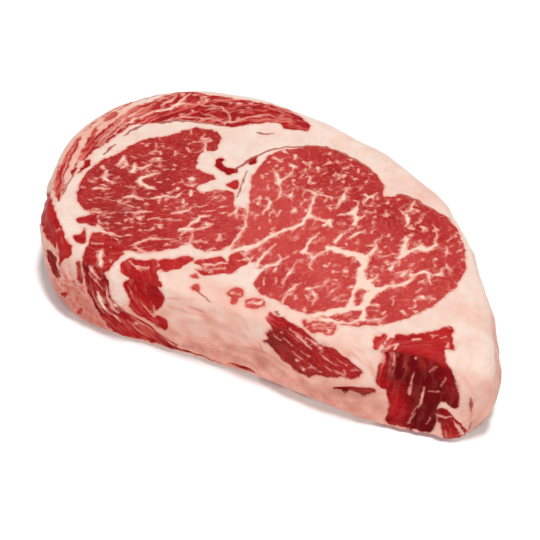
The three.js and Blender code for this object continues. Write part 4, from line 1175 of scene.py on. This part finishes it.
# ---- The table, the light and the camera ---------------------------------------------------------------
# A plain white sheet under the steak, a soft light above it and a larger, weaker one low in front.
FLOOR_SIZE = 6.0  # metres
SURROUNDINGS = 0.36  # how bright the white surroundings are
sheet = bmesh.new()
bmesh.ops.create_grid(sheet, x_segments=1, y_segments=1, size=FLOOR_SIZE / 2)
floor_mesh = bpy.data.meshes.new("floor")
sheet.to_mesh(floor_mesh)
sheet.free()
floor = bpy.data.objects.new("floor", floor_mesh)
bpy.context.collection.objects.link(floor)
paper = bpy.data.materials.new("white_paper")
paper.use_nodes = True
paper.node_tree.nodes["Principled BSDF"].inputs["Base Color"].default_value = linear("#ffffff")
paper.node_tree.nodes["Principled BSDF"].inputs["Roughness"].default_value = 0.9
floor_mesh.materials.append(paper)
floor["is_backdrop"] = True

world = bpy.data.worlds.new("soft_surroundings")
world.use_nodes = True
world.node_tree.nodes["Background"].inputs["Color"].default_value = (1, 1, 1, 1)
world.node_tree.nodes["Background"].inputs["Strength"].default_value = SURROUNDINGS
bpy.context.scene.world = world


def soft_light(name, power, size, place, target=(0, 0, 0)):
    """A square light of this size in metres that points at the target."""
    lamp = bpy.data.lights.new(name, "AREA")
    lamp.energy = power
    lamp.size = size
    light = bpy.data.objects.new(name, lamp)
    bpy.context.collection.objects.link(light)
    light.location = place
    aim = np.array(target, float) - np.array(place, float)
    heading = math.atan2(aim[0], -aim[1])
    tilt = math.acos(-aim[2] / np.linalg.norm(aim))
    light.rotation_euler = (tilt, 0, math.pi + heading)
    return light


soft_light("light_above", 12.0, 0.2, (0.12, 0.05, 1.3))
soft_light("light_in_front", 4.2, 0.9, (0.3, -1.0, 0.38))

CAMERA_TURN = math.radians(30)
CAMERA_HEIGHT = math.radians(45)
CAMERA_DISTANCE = 0.49  # metres
LOOKED_AT = (0.0015, -0.0138, 0.017)  # metres
lens = bpy.data.cameras.new("camera")
lens.lens = 85
lens.sensor_width = 36
camera = bpy.data.objects.new("camera", lens)
bpy.context.collection.objects.link(camera)
camera.location = (
    LOOKED_AT[0] + CAMERA_DISTANCE * math.sin(CAMERA_TURN) * math.cos(CAMERA_HEIGHT),
    LOOKED_AT[1] - CAMERA_DISTANCE * math.cos(CAMERA_TURN) * math.cos(CAMERA_HEIGHT),
    LOOKED_AT[2] + CAMERA_DISTANCE * math.sin(CAMERA_HEIGHT),
)
camera.rotation_euler = (math.pi / 2 - CAMERA_HEIGHT, 0, CAMERA_TURN)
bpy.context.scene.camera = camera
bpy.context.scene.view_settings.view_transform = "Standard"

visual_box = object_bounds()
sizes = {"cad": [list(corner) for corner in cad_box], "visual": [list(corner) for corner in visual_box]}
